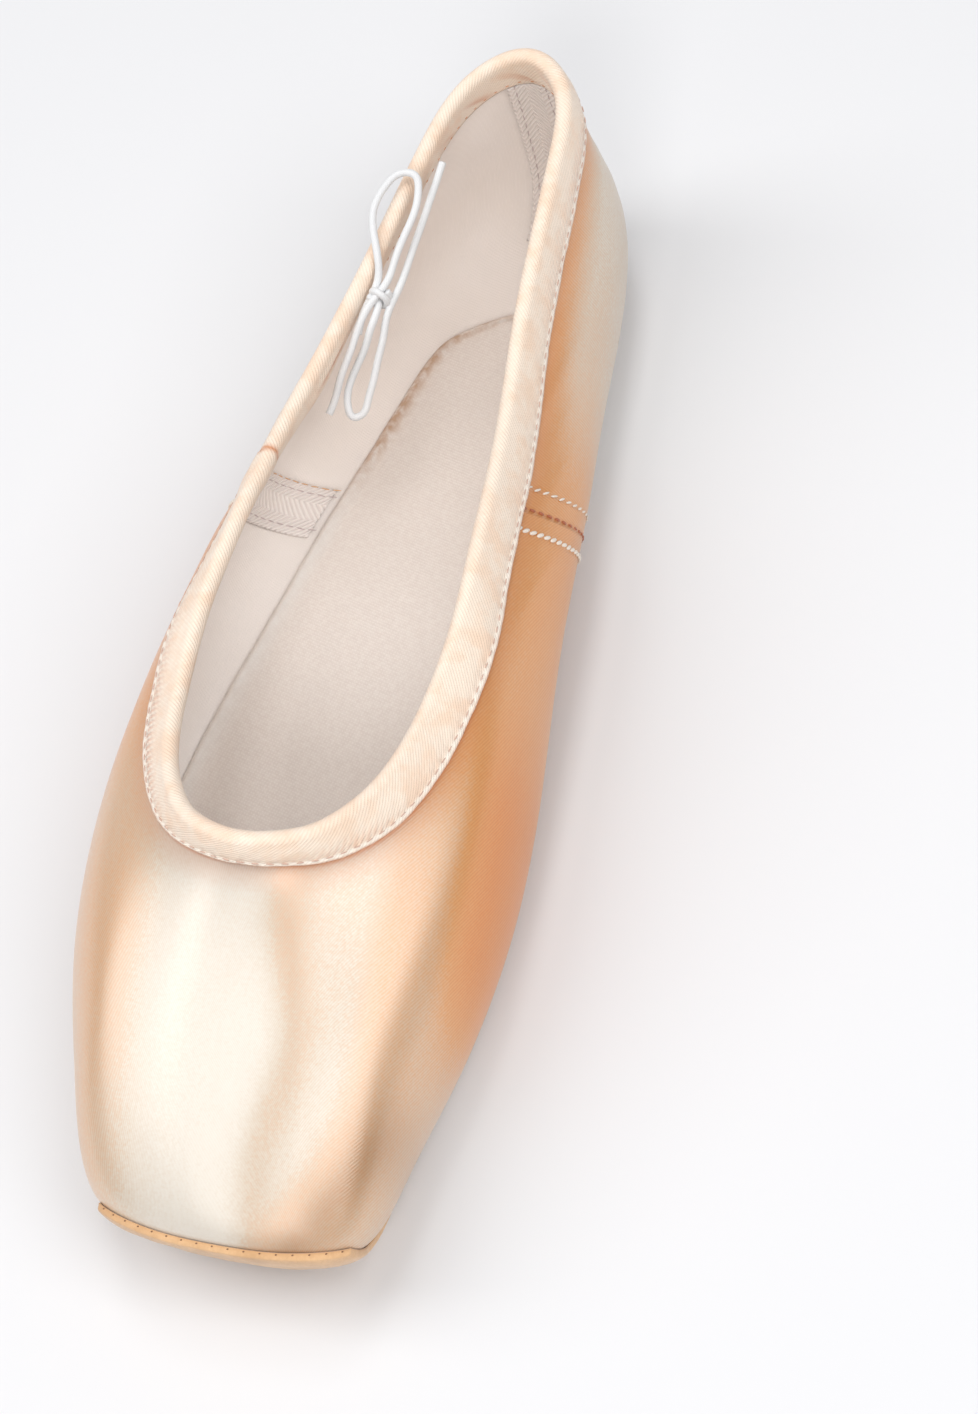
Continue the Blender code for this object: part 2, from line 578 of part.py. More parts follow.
def make_drawstring():
    for name, route in CORD_ROUTES.items():
        add_cord(name, route)
    shape = bmesh.new()
    bmesh.ops.create_icosphere(shape, subdivisions=3, radius=1.0)
    mesh = bpy.data.meshes.new("drawstring_knot")
    shape.to_mesh(mesh)
    shape.free()
    mesh.transform(Matrix.Diagonal((*(0.001 * size for size in KNOT_SIZE), 1.0)))
    mesh.materials.append(cloth_material("cord"))
    mesh.shade_smooth()
    knot = bpy.data.objects.new("drawstring_knot", mesh)
    knot.location = [0.001 * value for value in KNOT_CENTRE]
    bpy.context.scene.collection.objects.link(knot)


def main():
    for thing in list(bpy.data.objects):
        bpy.data.objects.remove(thing, do_unlink=True)
    make_upper()
    make_binding()
    make_toe_suede()
    make_outsole()
    make_insole()
    make_heel_tape()
    make_seam_tape("seam_tape_left", -1)
    make_seam_tape("seam_tape_right", 1)
    make_drawstring()


if __name__ == "__main__":
    main()
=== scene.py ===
"""A pointe shoe in peach satin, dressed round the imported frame.

The satin upper, binding, soles, tapes and patch are fine meshes on the same skin as the frame's
solids, apart from the rim beside the bow, which leans out a little. Rows run from the opening under
the foot, round the side and up to the collar. Points are worked out in millimetres, with the toe to
-Y and the heel to +Y, and meshes are stored in metres.
"""

import math

import bpy
import numpy as np
from bpy.props import FloatProperty, FloatVectorProperty, IntProperty, PointerProperty
from bpy.types import Operator, Panel, PropertyGroup
from mathutils import Matrix, Vector


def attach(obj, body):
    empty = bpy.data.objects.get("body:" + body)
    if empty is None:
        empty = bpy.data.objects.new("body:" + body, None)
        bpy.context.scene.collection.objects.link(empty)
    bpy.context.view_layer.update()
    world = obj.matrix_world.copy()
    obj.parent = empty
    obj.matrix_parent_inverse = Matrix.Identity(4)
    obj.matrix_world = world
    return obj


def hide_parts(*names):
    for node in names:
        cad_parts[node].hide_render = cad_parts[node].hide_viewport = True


bl_info = {
    "name": "Pointe shoe",
    "version": (1, 0, 0),
    "blender": (4, 5, 0),
    "location": "3D View > Sidebar > Pointe Shoe",
    "description": "Builds a satin pointe shoe with its binding, soles, tapes and drawstring",
    "category": "Add Mesh",
}

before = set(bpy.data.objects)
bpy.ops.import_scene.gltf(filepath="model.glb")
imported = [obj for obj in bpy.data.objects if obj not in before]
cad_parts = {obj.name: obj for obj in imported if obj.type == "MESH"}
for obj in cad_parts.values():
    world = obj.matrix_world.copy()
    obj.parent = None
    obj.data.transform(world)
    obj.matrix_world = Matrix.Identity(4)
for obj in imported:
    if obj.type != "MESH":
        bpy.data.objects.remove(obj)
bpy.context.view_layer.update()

# Sizes of the frame's solids, in millimetres
HALF_LENGTH = 120.0
HALF_WIDTH = 40.0
UPPER_HEIGHT = 52.4
SIDEWAYS_SET = 10.1
ARCH_RISE = 4.2
TOE_SPRING = 5.2
BOX_WALL = 2.4
QUARTER_WALL = 1.3
SOLE_WALL = 2.0
OUTSOLE_THICKNESS = 2.0
INSOLE_THICKNESS = 1.8
SEAT_GAP = 0.4
SKIN_BOTTOM = OUTSOLE_THICKNESS + SEAT_GAP

# How far the rim leans out beside the bow, where along the shoe, and over what length, in millimetres
RIM_LEAN = 1.9
RIM_LEAN_PLACE = 46.0
RIM_LEAN_REACH = 12.0

# Points from one level of the skin to the next, from one row to the next, and the same round the soles
FINE_STEPS = 16
ROUND_STEPS = 24
SOLE_STEPS = 12

# One side of the skin, unbent, as shares of the half width, the half length and the upper's height.
# The points of a row: opening, edge, low, belly, shoulder, upper side, hem and rim.
SKIN_ROWS = (
    ("toe_centre", (0, -0.721, 0), (0, -0.9, 0.004), (0, -0.97, 0.046), (0, -0.992, 0.202),
     (0, -0.997, 0.345), (0, -0.775, 0.634), (0, -0.517, 0.866), (0, -0.483, 0.996)),
    ("platform_side", (0.175, -0.715, 0), (0.3, -0.888, 0.004), (0.325, -0.958, 0.046),
     (0.362, -0.985, 0.202), (0.34, -0.987, 0.34), (0.275, -0.762, 0.637), (0.158, -0.509, 0.859),
     (0.135, -0.475, 0.985)),
    ("platform_corner", (0.325, -0.696, 0), (0.525, -0.833, 0.006), (0.57, -0.904, 0.05),
     (0.625, -0.943, 0.202), (0.6, -0.935, 0.351), (0.483, -0.729, 0.63), (0.318, -0.485, 0.84),
     (0.27, -0.454, 0.96)),
    ("wing_front", (0.475, -0.654, 0), (0.675, -0.733, 0.008), (0.75, -0.775, 0.078), (0.795, -0.792, 0.25),
     (0.755, -0.769, 0.441), (0.637, -0.646, 0.645), (0.465, -0.448, 0.811), (0.395, -0.412, 0.927)),
    ("wing", (0.6, -0.567, 0), (0.8, -0.608, 0.01), (0.885, -0.621, 0.097), (0.927, -0.625, 0.279),
     (0.88, -0.604, 0.479), (0.765, -0.525, 0.647), (0.603, -0.392, 0.773), (0.495, -0.35, 0.887)),
    ("ball", (0.675, -0.417, 0), (0.875, -0.417, 0.011), (0.97, -0.417, 0.111), (1, -0.417, 0.298),
     (0.96, -0.404, 0.485), (0.87, -0.358, 0.634), (0.735, -0.283, 0.733), (0.575, -0.242, 0.84)),
    ("fore_waist", (0.6, -0.183, 0), (0.825, -0.183, 0.015), (0.94, -0.183, 0.116), (0.98, -0.183, 0.288),
     (0.95, -0.175, 0.466), (0.88, -0.15, 0.599), (0.77, -0.108, 0.698), (0.617, -0.083, 0.79)),
    ("waist", (0.463, 0.067, 0), (0.688, 0.067, 0.023), (0.845, 0.067, 0.126), (0.91, 0.067, 0.288),
     (0.88, 0.067, 0.441), (0.807, 0.067, 0.55), (0.71, 0.067, 0.637), (0.605, 0.067, 0.76)),
    ("hind_waist", (0.362, 0.3, 0), (0.588, 0.3, 0.031), (0.76, 0.3, 0.135), (0.835, 0.3, 0.279),
     (0.815, 0.3, 0.403), (0.74, 0.3, 0.511), (0.64, 0.3, 0.611), (0.535, 0.3, 0.754)),
    ("heel_side", (0.275, 0.5, 0), (0.475, 0.533, 0.023), (0.647, 0.55, 0.126), (0.713, 0.554, 0.279),
     (0.688, 0.55, 0.435), (0.61, 0.546, 0.565), (0.515, 0.542, 0.685), (0.435, 0.542, 0.836)),
    ("heel_corner", (0.237, 0.625, 0), (0.412, 0.733, 0.023), (0.52, 0.796, 0.126), (0.555, 0.817, 0.298),
     (0.535, 0.817, 0.479), (0.475, 0.808, 0.634), (0.405, 0.802, 0.779), (0.348, 0.8, 0.933)),
    ("heel_round", (0.138, 0.667, 0), (0.237, 0.833, 0.023), (0.31, 0.921, 0.126), (0.34, 0.953, 0.307),
     (0.33, 0.953, 0.508), (0.305, 0.947, 0.676), (0.275, 0.941, 0.821), (0.245, 0.935, 0.977)),
    ("heel_back", (0, 0.683, 0), (0, 0.875, 0.023), (0, 0.963, 0.126), (0, 1.002, 0.317),
     (0, 1.006, 0.527), (0, 1.003, 0.695), (0, 0.998, 0.84), (0, 0.991, 1)),
)

# Where the soles end along each row, as a share of the way from the opening to the edge
OUTSOLE_SHARE = (0.27, 0.28, 0.42, 0.75, 0.75, 0.55, 0.55, 0.50, 0.50, 0.65, 0.65, 0.70, 0.70)
INSOLE_SHARE = (0.45, 0.45, 0.55, 0.90, 0.90, 0.95, 1.00, 0.80, 0.75, 0.75, 0.50, 0.35, 0.35)

# Sideways set of the middle line: y as a share of the half length, x as a share of the sideways set
MIDDLE_LINE = (
    (-1.0, 0.59), (-0.83, 0.26), (-0.625, 0.06), (-0.375, 0.0), (-0.08, 0.03),
    (0.21, 0.15), (0.415, 0.23), (0.625, 0.465), (0.83, 0.74), (1.01, 1.0),
)

# Arch, toe spring and toe box wall along the shoe, as shares of the half length
ARCH_FROM, ARCH_TO = -0.25, 0.467
SPRING_FROM, SPRING_LENGTH = -0.60, 0.383
BOX_FROM, BOX_LENGTH = -0.167, 0.333

# Suede toe patch: level, and how many rows it reaches to either side of the toe centre
PATCH_REACH = ((0.0, 3.0), (1.0, 2.9), (2.0, 2.35), (2.6, 2.0), (3.0, 1.9), (3.8, 1.75), (4.3, 1.65))
PATCH_TOP_LEVEL = 3.84
PATCH_CORNER_DROP = 0.35

# Binding at the throat: the share of its width that is lost at the middle, and how many rows that fades over
THROAT_NARROWING = 0.42
THROAT_ROWS = 3.4

# Side seams: places at the collar, the lean to the heel for each millimetre down, and the row they are near
SEAM_AT_RIM = 22.5
TAPE_AT_RIM = 23.5
SEAM_LEAN = 0.35
SEAM_ROW = 7.5
SIDES = ((-1, "left"), (1, "right"))

# Inside tapes, in millimetres: gap to the lining, thickness, and how far their stitches lie over the lining
TAPE_GAP = 0.35
TAPE_THICKNESS = 0.6
TAPE_STITCH_DEPTH = 1.0

# Heel tape: width in metres, and the level at which it starts
HEEL_TAPE_WIDTH = 0.0135
HEEL_TAPE_FOOT = 1.45

# Insole, in millimetres: clearance to the parts it stands in, and how far its edge lies under its middle
INSOLE_GAP = 0.06
INSOLE_CROWN = 0.25

# Satin and lining, in millimetres: toe box folds, the way round the shoe, sole pleats, waves and ripples
TOE_FOLD_SPACING = 21.0
SHOE_ROUND = 560.0
PLEAT_SPACING = 4.6
PLEAT_DEPTH = 0.28
QUARTER_WAVE = 0.16
LINING_RIPPLE = 0.10

# Shares by which the satin's painted highlight makes it paler and its painted shade makes it deeper, in its
# bands, at the heel and along the outer flank
TOE_PAINTED_LIGHT = 0.42
CREAM_SHADE = 0.45
STREAK_SHADE = 0.58
STREAK_DIM = 0.26
HEEL_PAINTED_LIGHT = 0.68
FLANK_PAINTED_SHADE = 0.6

# Drawstring routes in millimetres: a cord leaves the casing or the knot, loops, and ends past the knot
UPPER_CORD_ROUTE = (
    (-12.4, 58.2, 40.9), (-11.9, 61.0, 42.9), (-10.6, 64.4, 44.7), (-9.6, 67.4, 46.5), (-9.9, 70.8, 49.4),
    (-11.6, 75.5, 51.3), (-12.5, 79.5, 52.1), (-11.2, 84.8, 53.3), (-8.6, 88.0, 53.7), (-5.9, 87.8, 53.7),
    (-4.4, 84.8, 53.2), (-4.3, 81.0, 51.9), (-5.6, 76.4, 49.9), (-7.0, 71.4, 47.6), (-7.7, 67.6, 46.3),
    (-9.0, 64.7, 45.7), (-10.8, 61.8, 44.4), (-12.1, 58.9, 42.6), (-13.3, 54.5, 40.0), (-14.9, 50.3, 36.8),
    (-16.0, 47.3, 33.6), (-16.9, 44.9, 32.0),
)
LOWER_CORD_ROUTE = (
    (-9.0, 64.6, 44.3), (-9.0, 61.9, 43.6), (-9.8, 59.1, 42.0), (-10.8, 57.0, 39.4), (-12.2, 54.6, 36.8),
    (-13.8, 51.0, 34.0), (-13.8, 47.6, 31.8), (-12.3, 45.7, 30.6), (-10.9, 46.4, 30.6), (-10.0, 49.0, 31.8),
    (-9.2, 52.5, 34.2), (-8.6, 55.6, 36.6), (-7.8, 58.4, 39.2), (-7.3, 61.7, 42.0), (-6.5, 64.4, 43.6),
    (-5.6, 66.9, 44.7), (-5.0, 71.7, 45.4), (-4.6, 75.5, 46.2), (-3.9, 79.9, 47.4), (-3.1, 84.7, 49.0),
    (-2.4, 88.9, 50.4), (-1.9, 93.0, 51.4),
)

# The knot's wrap: centre, direction, turns, radius and length, in millimetres
KNOT_CENTRE = (-8.9, 64.7, 44.6)
KNOT_AXIS = (0.25, 0.90, 0.36)
KNOT_TURNS = 1.75
KNOT_REACH = 1.75
KNOT_LENGTH = 2.2

# Binding, in millimetres: gap to the skin, cloth, where the fold starts, the stitches' distances to the
# edges, and how far the inner face is padded beside the bow
BINDING_GAP = 0.35
BINDING_CLOTH = 0.7
FOLD_START = 0.3
STITCH_INSET = 1.1
BOBBIN_INSET = 0.9
LEAN_PUFF = 1.1

# Where the binding's ends overlap on the left side, and how far the lap is moved, in millimetres
BINDING_JOINT = 26.0
BINDING_LAP = 0.727

# The drawstring's slit: place towards the heel, half length, and depth under the collar, in millimetres
SLIT_PLACE = 51.5
SLIT_REACH = 7.0
SLIT_DEPTH = 1.9

# Camera, in metres: place, target, roll and lens
CAMERA_PLACE = (0.17654, -0.25606, 0.50112)
CAMERA_TARGET = (0.02661, -0.00827, 0.020)
CAMERA_ROLL = -0.3506
CAMERA_LENS = 76.39

# Lights, in metres and watts: name, place, target, width, height and power
LIGHTS = (
    ("key", (-0.85, -0.15, 1.15), (0.0, -0.03, 0.02), 0.60, 1.2, 8.2),
    ("right_fill", (0.75, -0.15, 1.10), (0.0, 0.0, 0.02), 0.7, 0.9, 7.0),
    ("overhead", (-0.05, 0.35, 1.6), (0.0, 0.0, 0.0), 0.35, 0.9, 5.0),
    ("front", (0.20, -1.10, 1.00), (0.0, 0.0, 0.03), 0.5, 0.5, 5.8),
)

# Floor, in metres: how far it reaches to each side, and its height
FLOOR_REACH = 4.0
FLOOR_HEIGHT = -0.0003


class PointeShoeSettings(PropertyGroup):
    """Sizes and colours of the shoe's trims and finishes."""

    binding_width: FloatProperty(
        name="Binding Width", description="Width of the binding outside", default=0.0083, unit="LENGTH"
    )
    binding_turned_in: FloatProperty(
        name="Binding Turned In", description="Width of the binding inside", default=0.0070, unit="LENGTH"
    )
    cord_diameter: FloatProperty(
        name="Cord Diameter", description="Thickness of the drawstring", default=0.0015, unit="LENGTH"
    )
    stitch_length: FloatProperty(
        name="Stitch Length", description="Length of a binding stitch", default=0.0015, unit="LENGTH"
    )
    stitch_pitch: FloatProperty(
        name="Stitch Pitch", description="From one binding stitch to the next", default=0.0026, unit="LENGTH"
    )
    seam_row_apart: FloatProperty(
        name="Seam Row Spacing", description="From a side seam to its stitch rows",
        default=0.0050, unit="LENGTH"
    )
    seam_tape_width: FloatProperty(
        name="Seam Tape Width", description="Width of the tape inside a side seam",
        default=0.013, unit="LENGTH"
    )
    satin_fold: FloatProperty(
        name="Satin Fold", description="Height of the soft folds along the toe box",
        default=0.00030, unit="LENGTH"
    )
    stitch_seed: IntProperty(name="Stitch Seed", description="Seed of the stitches' small turns", default=7)
    satin_colour: FloatVectorProperty(
        name="Satin", description="Colour of the satin's sides",
        subtype="COLOR", size=3, default=(0.74, 0.36, 0.13)
    )
    # The satin's painted highlight colour, mixed in where its painted light bands lie
    satin_highlight_colour: FloatVectorProperty(
        name="Satin Light", description="Colour of the satin where it lies open to the light",
        subtype="COLOR", size=3, default=(0.68, 0.585, 0.475)
    )
    binding_colour: FloatVectorProperty(
        name="Binding", description="Colour of the binding",
        subtype="COLOR", size=3, default=(0.92, 0.785, 0.655)
    )
    lining_colour: FloatVectorProperty(
        name="Lining", description="Colour of the lining", subtype="COLOR", size=3, default=(0.96, 0.90, 0.86)
    )
    insole_colour: FloatVectorProperty(
        name="Insole", description="Colour of the insole",
        subtype="COLOR", size=3, default=(0.88, 0.80, 0.745)
    )
    suede_colour: FloatVectorProperty(
        name="Toe Suede", description="Colour of the toe patch",
        subtype="COLOR", size=3, default=(0.72, 0.45, 0.24)
    )
    outsole_colour: FloatVectorProperty(
        name="Outsole", description="Colour of the outsole",
        subtype="COLOR", size=3, default=(0.52, 0.28, 0.15)
    )
    cord_colour: FloatVectorProperty(
        name="Drawstring", description="Colour of the drawstring",
        subtype="COLOR", size=3, default=(0.80, 0.80, 0.80)
    )


# Curves and the skin of the shoe


def smooth_step(value):
    """0 below 0, 1 above 1, and a soft rise between."""
    value = np.clip(value, 0.0, 1.0)
    return value * value * (3.0 - 2.0 * value)


def rise(value, start, length):
    """0 before the start, 1 a length past it, and soft between."""
    return smooth_step((value - start) / length)


def fall(value, end, length):
    """1 until a length before the end, 0 past the end, and soft between."""
    return smooth_step((end - value) / length)


def hill(value, middle, width):
    """1 at the middle, with a soft fall on both sides."""
    return np.exp(-(((value - middle) / width) ** 2))


def unit(vectors):
    """The vectors with their lengths made 1."""
    return vectors / np.linalg.norm(vectors, axis=-1, keepdims=True)


def spline_bends(knots, points, period=None):
    """Second derivatives of the smoothest curve through the points at the knots."""
    count = len(knots)
    matrix = np.zeros((count, count))
    right = np.zeros_like(points)
    if period is None:
        steps = np.diff(knots)
        matrix[0, 0] = matrix[-1, -1] = 1.0
        inside = range(1, count - 1)
    else:
        steps = np.append(np.diff(knots), knots[0] + period - knots[-1])
        inside = range(count)
    for i in inside:
        before, after = (i - 1) % count, (i + 1) % count
        matrix[i, before] += steps[before]
        matrix[i, i] += 2.0 * (steps[before] + steps[i])
        matrix[i, after] += steps[i]
        slope_after = (points[after] - points[i]) / steps[i]
        slope_before = (points[i] - points[before]) / steps[before]
        right[i] = 6.0 * (slope_after - slope_before)
    return np.linalg.solve(matrix, right.reshape(count, -1)).reshape(points.shape)


def spline_at(knots, points, bends, where, period=None):
    """The curve's points at the places asked for."""
    count = len(knots)
    where = np.asarray(where, float)
    ends = np.asarray(knots, float)
    if period is not None:
        ends = np.append(ends, ends[0] + period)
        where = (where - ends[0]) % period + ends[0]
    left = np.clip(np.searchsorted(ends, where, side="right") - 1, 0, len(ends) - 2)
    right = (left + 1) % count
    step = ends[left + 1] - ends[left]
    a = (ends[left + 1] - where) / step
    b = 1.0 - a
    shape = (-1,) + (1,) * (points.ndim - 1)
    a, b, step = a.reshape(shape), b.reshape(shape), step.reshape(shape)
    bend = ((a**3 - a) * bends[left] + (b**3 - b) * bends[right]) * step**2 / 6.0
    return a * points[left] + b * points[right] + bend


def curve_through(knots, points, where):
    """The smoothest curve through the points, read at the places asked for."""
    knots, points = np.asarray(knots, float), np.asarray(points, float)
    return spline_at(knots, points, spline_bends(knots, points), where)


def row_curve(points):
    """A row's points joined by a smooth curve, with FINE_STEPS points from each level to the next."""
    gaps = np.sqrt(np.linalg.norm(np.diff(points, axis=0), axis=1))
    knots = np.append(0.0, np.cumsum(gaps))
    where = [np.linspace(a, b, FINE_STEPS, endpoint=False) for a, b in zip(knots[:-1], knots[1:])]
    return curve_through(knots, points, np.append(np.concatenate(where), knots[-1]))


def sized_rows():
    """The rows of the skin in millimetres, standing on the outsole."""
    sizes = np.array([HALF_WIDTH, HALF_LENGTH, UPPER_HEIGHT])
    return [np.array(row[1:], float) * sizes + [0.0, 0.0, SKIN_BOTTOM] for row in SKIN_ROWS]


def beside_bow(points):
    """From 0 to 1, how near places at the rim are to the part that leans out beside the bow."""
    return hill(points[..., 1], RIM_LEAN_PLACE, RIM_LEAN_REACH) * (points[..., 0] < 0)


def lean_rim(rows):
    """The rows with the rim leaning out beside the bow."""
    levels = np.arange(rows.shape[1]) / FINE_STEPS
    rows[..., 0] -= RIM_LEAN * beside_bow(rows) * rise(levels, 4.6, 2.4)
    return rows


ONE_SIDE = np.array([row_curve(points) for points in sized_rows()])
ALL_ROWS = lean_rim(np.concatenate([ONE_SIDE, ONE_SIDE[1:-1][::-1] * np.array([-1.0, 1.0, 1.0])]))
ROW_GAPS = np.sqrt(np.linalg.norm(np.roll(ALL_ROWS, -1, 0) - ALL_ROWS, axis=2)[:, int(3.5 * FINE_STEPS)])
ROW_KNOTS = np.append(0.0, np.cumsum(ROW_GAPS)[:-1]) / ROW_GAPS.sum()
ROW_BENDS = spline_bends(ROW_KNOTS, ALL_ROWS, 1.0)
ROW_COUNT = len(ALL_ROWS)
TOP_LEVEL = len(SKIN_ROWS[0]) - 2.0


def round_at(row_numbers):
    """Places round the shoe for row numbers, which count from the toe centre and may be negative."""
    knots = np.concatenate([ROW_KNOTS, [1.0]])
    numbers = np.asarray(row_numbers, float) % ROW_COUNT
    return np.interp(numbers, np.arange(ROW_COUNT + 1), knots)


def places_round(steps):
    """Places all round the shoe, with this many from one row to the next."""
    return round_at(np.arange(ROW_COUNT * steps) / steps)


def skin_points(around, levels):
    """The unbent skin for places round the shoe and levels, spread over one shape."""
    around, levels = np.broadcast_arrays(np.asarray(around, float), np.asarray(levels, float))
    places, which = np.unique(around.ravel(), return_inverse=True)
    which = which.reshape(around.shape)
    columns = spline_at(ROW_KNOTS, ALL_ROWS, ROW_BENDS, places, 1.0)
    low = np.clip(np.floor(levels * FINE_STEPS + 1e-9).astype(int), 0, columns.shape[1] - 2)
    share = (levels * FINE_STEPS - low)[..., None]
    return columns[which, low] * (1.0 - share) + columns[which, low + 1] * share


def skin_normals(around, levels):
    """Outward normals of the unbent skin."""
    around, levels = np.broadcast_arrays(np.asarray(around, float), np.asarray(levels, float))
    above = skin_points(around, np.minimum(levels + 0.125, TOP_LEVEL))
    below = skin_points(around, np.maximum(levels - 0.125, 0.0))
    across = skin_points(around + 0.004, levels) - skin_points(around - 0.004, levels)
    return unit(np.cross(across, above - below))


def wall_at(points, levels):
    """Wall thickness: thick in the toe box and underneath, thin at the quarters and the collar."""
    box = fall(points[..., 1], BOX_FROM * HALF_LENGTH, BOX_LENGTH * HALF_LENGTH) * fall(levels, 5.9, 0.9)
    wall = QUARTER_WALL + (BOX_WALL - QUARTER_WALL) * box
    under = fall(levels, 1.6, 0.8)
    return wall * (1.0 - under) + SOLE_WALL * under


def offset_skin(around, levels, outwards):
    """The skin moved outwards along its normals."""
    return skin_points(around, levels) + skin_normals(around, levels) * np.asarray(outwards)[..., None]


def sole_rise(y):
    """Arch and toe spring over the two flats of the sole."""
    share = y / HALF_LENGTH
    arch = np.clip((share - ARCH_FROM) / (ARCH_TO - ARCH_FROM), 0.0, 1.0)
    spring = np.clip((SPRING_FROM - share) / SPRING_LENGTH, 0.0, 1.2)
    return ARCH_RISE * np.sin(np.pi * arch) ** 2 + TOE_SPRING * spring**1.8


def bend_shoe(points):
    """Lays unbent points along the middle line, over the arch and the toe spring."""
    points = np.array(points, float)
    y = points[..., 1].copy()
    table = np.array(MIDDLE_LINE, float) * [HALF_LENGTH, SIDEWAYS_SET]
    sideways = curve_through(table[:, 0], table[:, 1], y.ravel())
    points[..., 0] += sideways.reshape(y.shape)
    points[..., 2] += sole_rise(y)
    return points


def lengths_along(points):
    """Distance walked along a line of points, from 0."""
    steps = np.linalg.norm(np.diff(points, axis=0), axis=1)
    return np.append(0.0, np.cumsum(steps))


def width_share(row_numbers):
    """The share of the binding's full width that it keeps outside, for row numbers from the toe centre."""
    numbers = np.abs((np.asarray(row_numbers, float) + ROW_COUNT / 2.0) % ROW_COUNT - ROW_COUNT / 2.0)
    return 1.0 - THROAT_NARROWING * hill(numbers, 0.0, THROAT_ROWS)


def seam_row(side):
    """The place round the shoe where a side seam meets the collar: side is -1 at the left, 1 at the right."""
    return round_at(side * SEAM_ROW)


def collar_levels(around, down):
    """Levels that lie this far down from the collar: around holds the columns, down the rows and columns."""
    levels = np.linspace(3.5, TOP_LEVEL, 57)
    lines = skin_points(around[:, None], levels[None, :])
    steps = np.linalg.norm(np.diff(lines, axis=1), axis=2)[:, ::-1]
    found = np.empty(down.shape)
    for c in range(len(around)):
        walked = np.append(0.0, np.cumsum(steps[c]))
        found[:, c] = np.interp(down[:, c], walked, levels[::-1])
    return found


def collar_points(around, down, outwards):
    """Unbent points at distances down from the collar, past it when negative, and heights over the skin."""
    levels = collar_levels(around, np.maximum(down, 0.0))
    places = around[None, :] + 0.0 * down
    points = offset_skin(places, levels, outwards)
    top = skin_points(around, np.full(len(around), TOP_LEVEL))
    below = skin_points(around, collar_levels(around, np.full((1, len(around)), 1.5))[0])
    return points + unit(top - below)[None, :, :] * np.maximum(-down, 0.0)[..., None]


def level_down(around, down):
    """The level that lies this far down from the collar at one place."""
    return collar_levels(np.array([around]), np.array([[down]]))[0, 0]


def seam_places(side, levels, at_rim, offset=0.0):
    """Places round the shoe where a side seam crosses each level, moved to the heel by the offset."""
    search = round_at(side * np.linspace(5.5, 10.0, 181))
    unwrapped = np.where(search > 0.5, search - 1.0, search) if side < 0 else search
    rim_height = skin_points(seam_row(side), TOP_LEVEL)[2]
    found = []
    for level in levels:
        line = skin_points(search, np.full(len(search), level))
        apart = line[:, 1] - at_rim - offset - SEAM_LEAN * (rim_height - line[:, 2])
        order = np.argsort(apart)
        found.append(np.interp(0.0, apart[order], unwrapped[order]))
    return np.array(found)


def patch_places(shares, columns):
    """Places and levels of the toe patch: shares run from the outsole up, columns from left to right."""
    reach = np.array(PATCH_REACH)
    ring = places_round(3)
    outsole = sole_levels(OUTSOLE_SHARE, 3)
    around = np.zeros((len(shares), len(columns)))
    levels = np.zeros_like(around)
    for c, column in enumerate(columns):
        edge = round_at(column * reach[0, 1])
        start = np.interp(edge, np.append(ring, 1.0), np.append(outsole, outsole[0])) + 0.06
        top = PATCH_TOP_LEVEL - PATCH_CORNER_DROP * abs(column) ** 6
        levels[:, c] = start + (top - start) * np.asarray(shares)
        around[:, c] = round_at(column * np.interp(levels[:, c], reach[:, 0], reach[:, 1]))
    return around, levels


def sole_levels(shares, steps):
    """The level at which a sole ends, for each place round the shoe."""
    both = np.array(list(shares) + list(shares[1:-1][::-1]), float)
    knots = np.arange(len(both), dtype=float)
    where = np.arange(ROW_COUNT * steps) / steps
    found = spline_at(knots, both, spline_bends(knots, both, float(len(both))), where, float(len(both)))
    return np.clip(found, 0.0, 1.2)


# Meshes


def grid_quads(numbers):
    """Quads between the neighbours of a grid of point numbers."""
    corners = [numbers[:-1, :-1], numbers[:-1, 1:], numbers[1:, 1:], numbers[1:, :-1]]
    return np.stack(corners, axis=-1).reshape(-1, 4)


def ring_faces(rings, count, closed_profile):
    """Quads between rings of one count each, every ring going round the shoe."""
    numbers = np.arange(rings * count).reshape(rings, count)
    numbers = np.concatenate([numbers, numbers[:, :1]], axis=1)
    return grid_quads(np.concatenate([numbers, numbers[:1]]) if closed_profile else numbers)


def sheet_solid(outer, inner):
    """Points and faces of a closed slab between two grids of one shape."""
    rows, columns = outer.shape[:2]
    size = rows * columns
    numbers = np.arange(size).reshape(rows, columns)
    quads = grid_quads(numbers)
    border = np.concatenate([numbers[0], numbers[1:, -1], numbers[-1, -2::-1], numbers[-2:0:-1, 0]])
    after = np.roll(border, -1)
    rim = np.stack([after, border, size + border, size + after], axis=-1)
    faces = np.concatenate([quads, size + quads[:, ::-1], rim])
    return np.concatenate([outer.reshape(-1, 3), inner.reshape(-1, 3)]), faces


def facing_out(points, faces):
    """The faces turned so that the closed shape has a positive volume."""
    corners = points[faces]
    volume = 0.0
    for k in range(1, faces.shape[1] - 1):
        volume += np.einsum("ij,ij->", corners[:, 0], np.cross(corners[:, k], corners[:, k + 1]))
    return faces if volume > 0 else faces[:, ::-1]


def ride_shoe(name, mesh):
    """The mesh as a piece of the scene that rides on the shoe."""
    piece = bpy.data.objects.new(name, mesh)
    bpy.context.scene.collection.objects.link(piece)
    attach(piece, "root")
    return piece


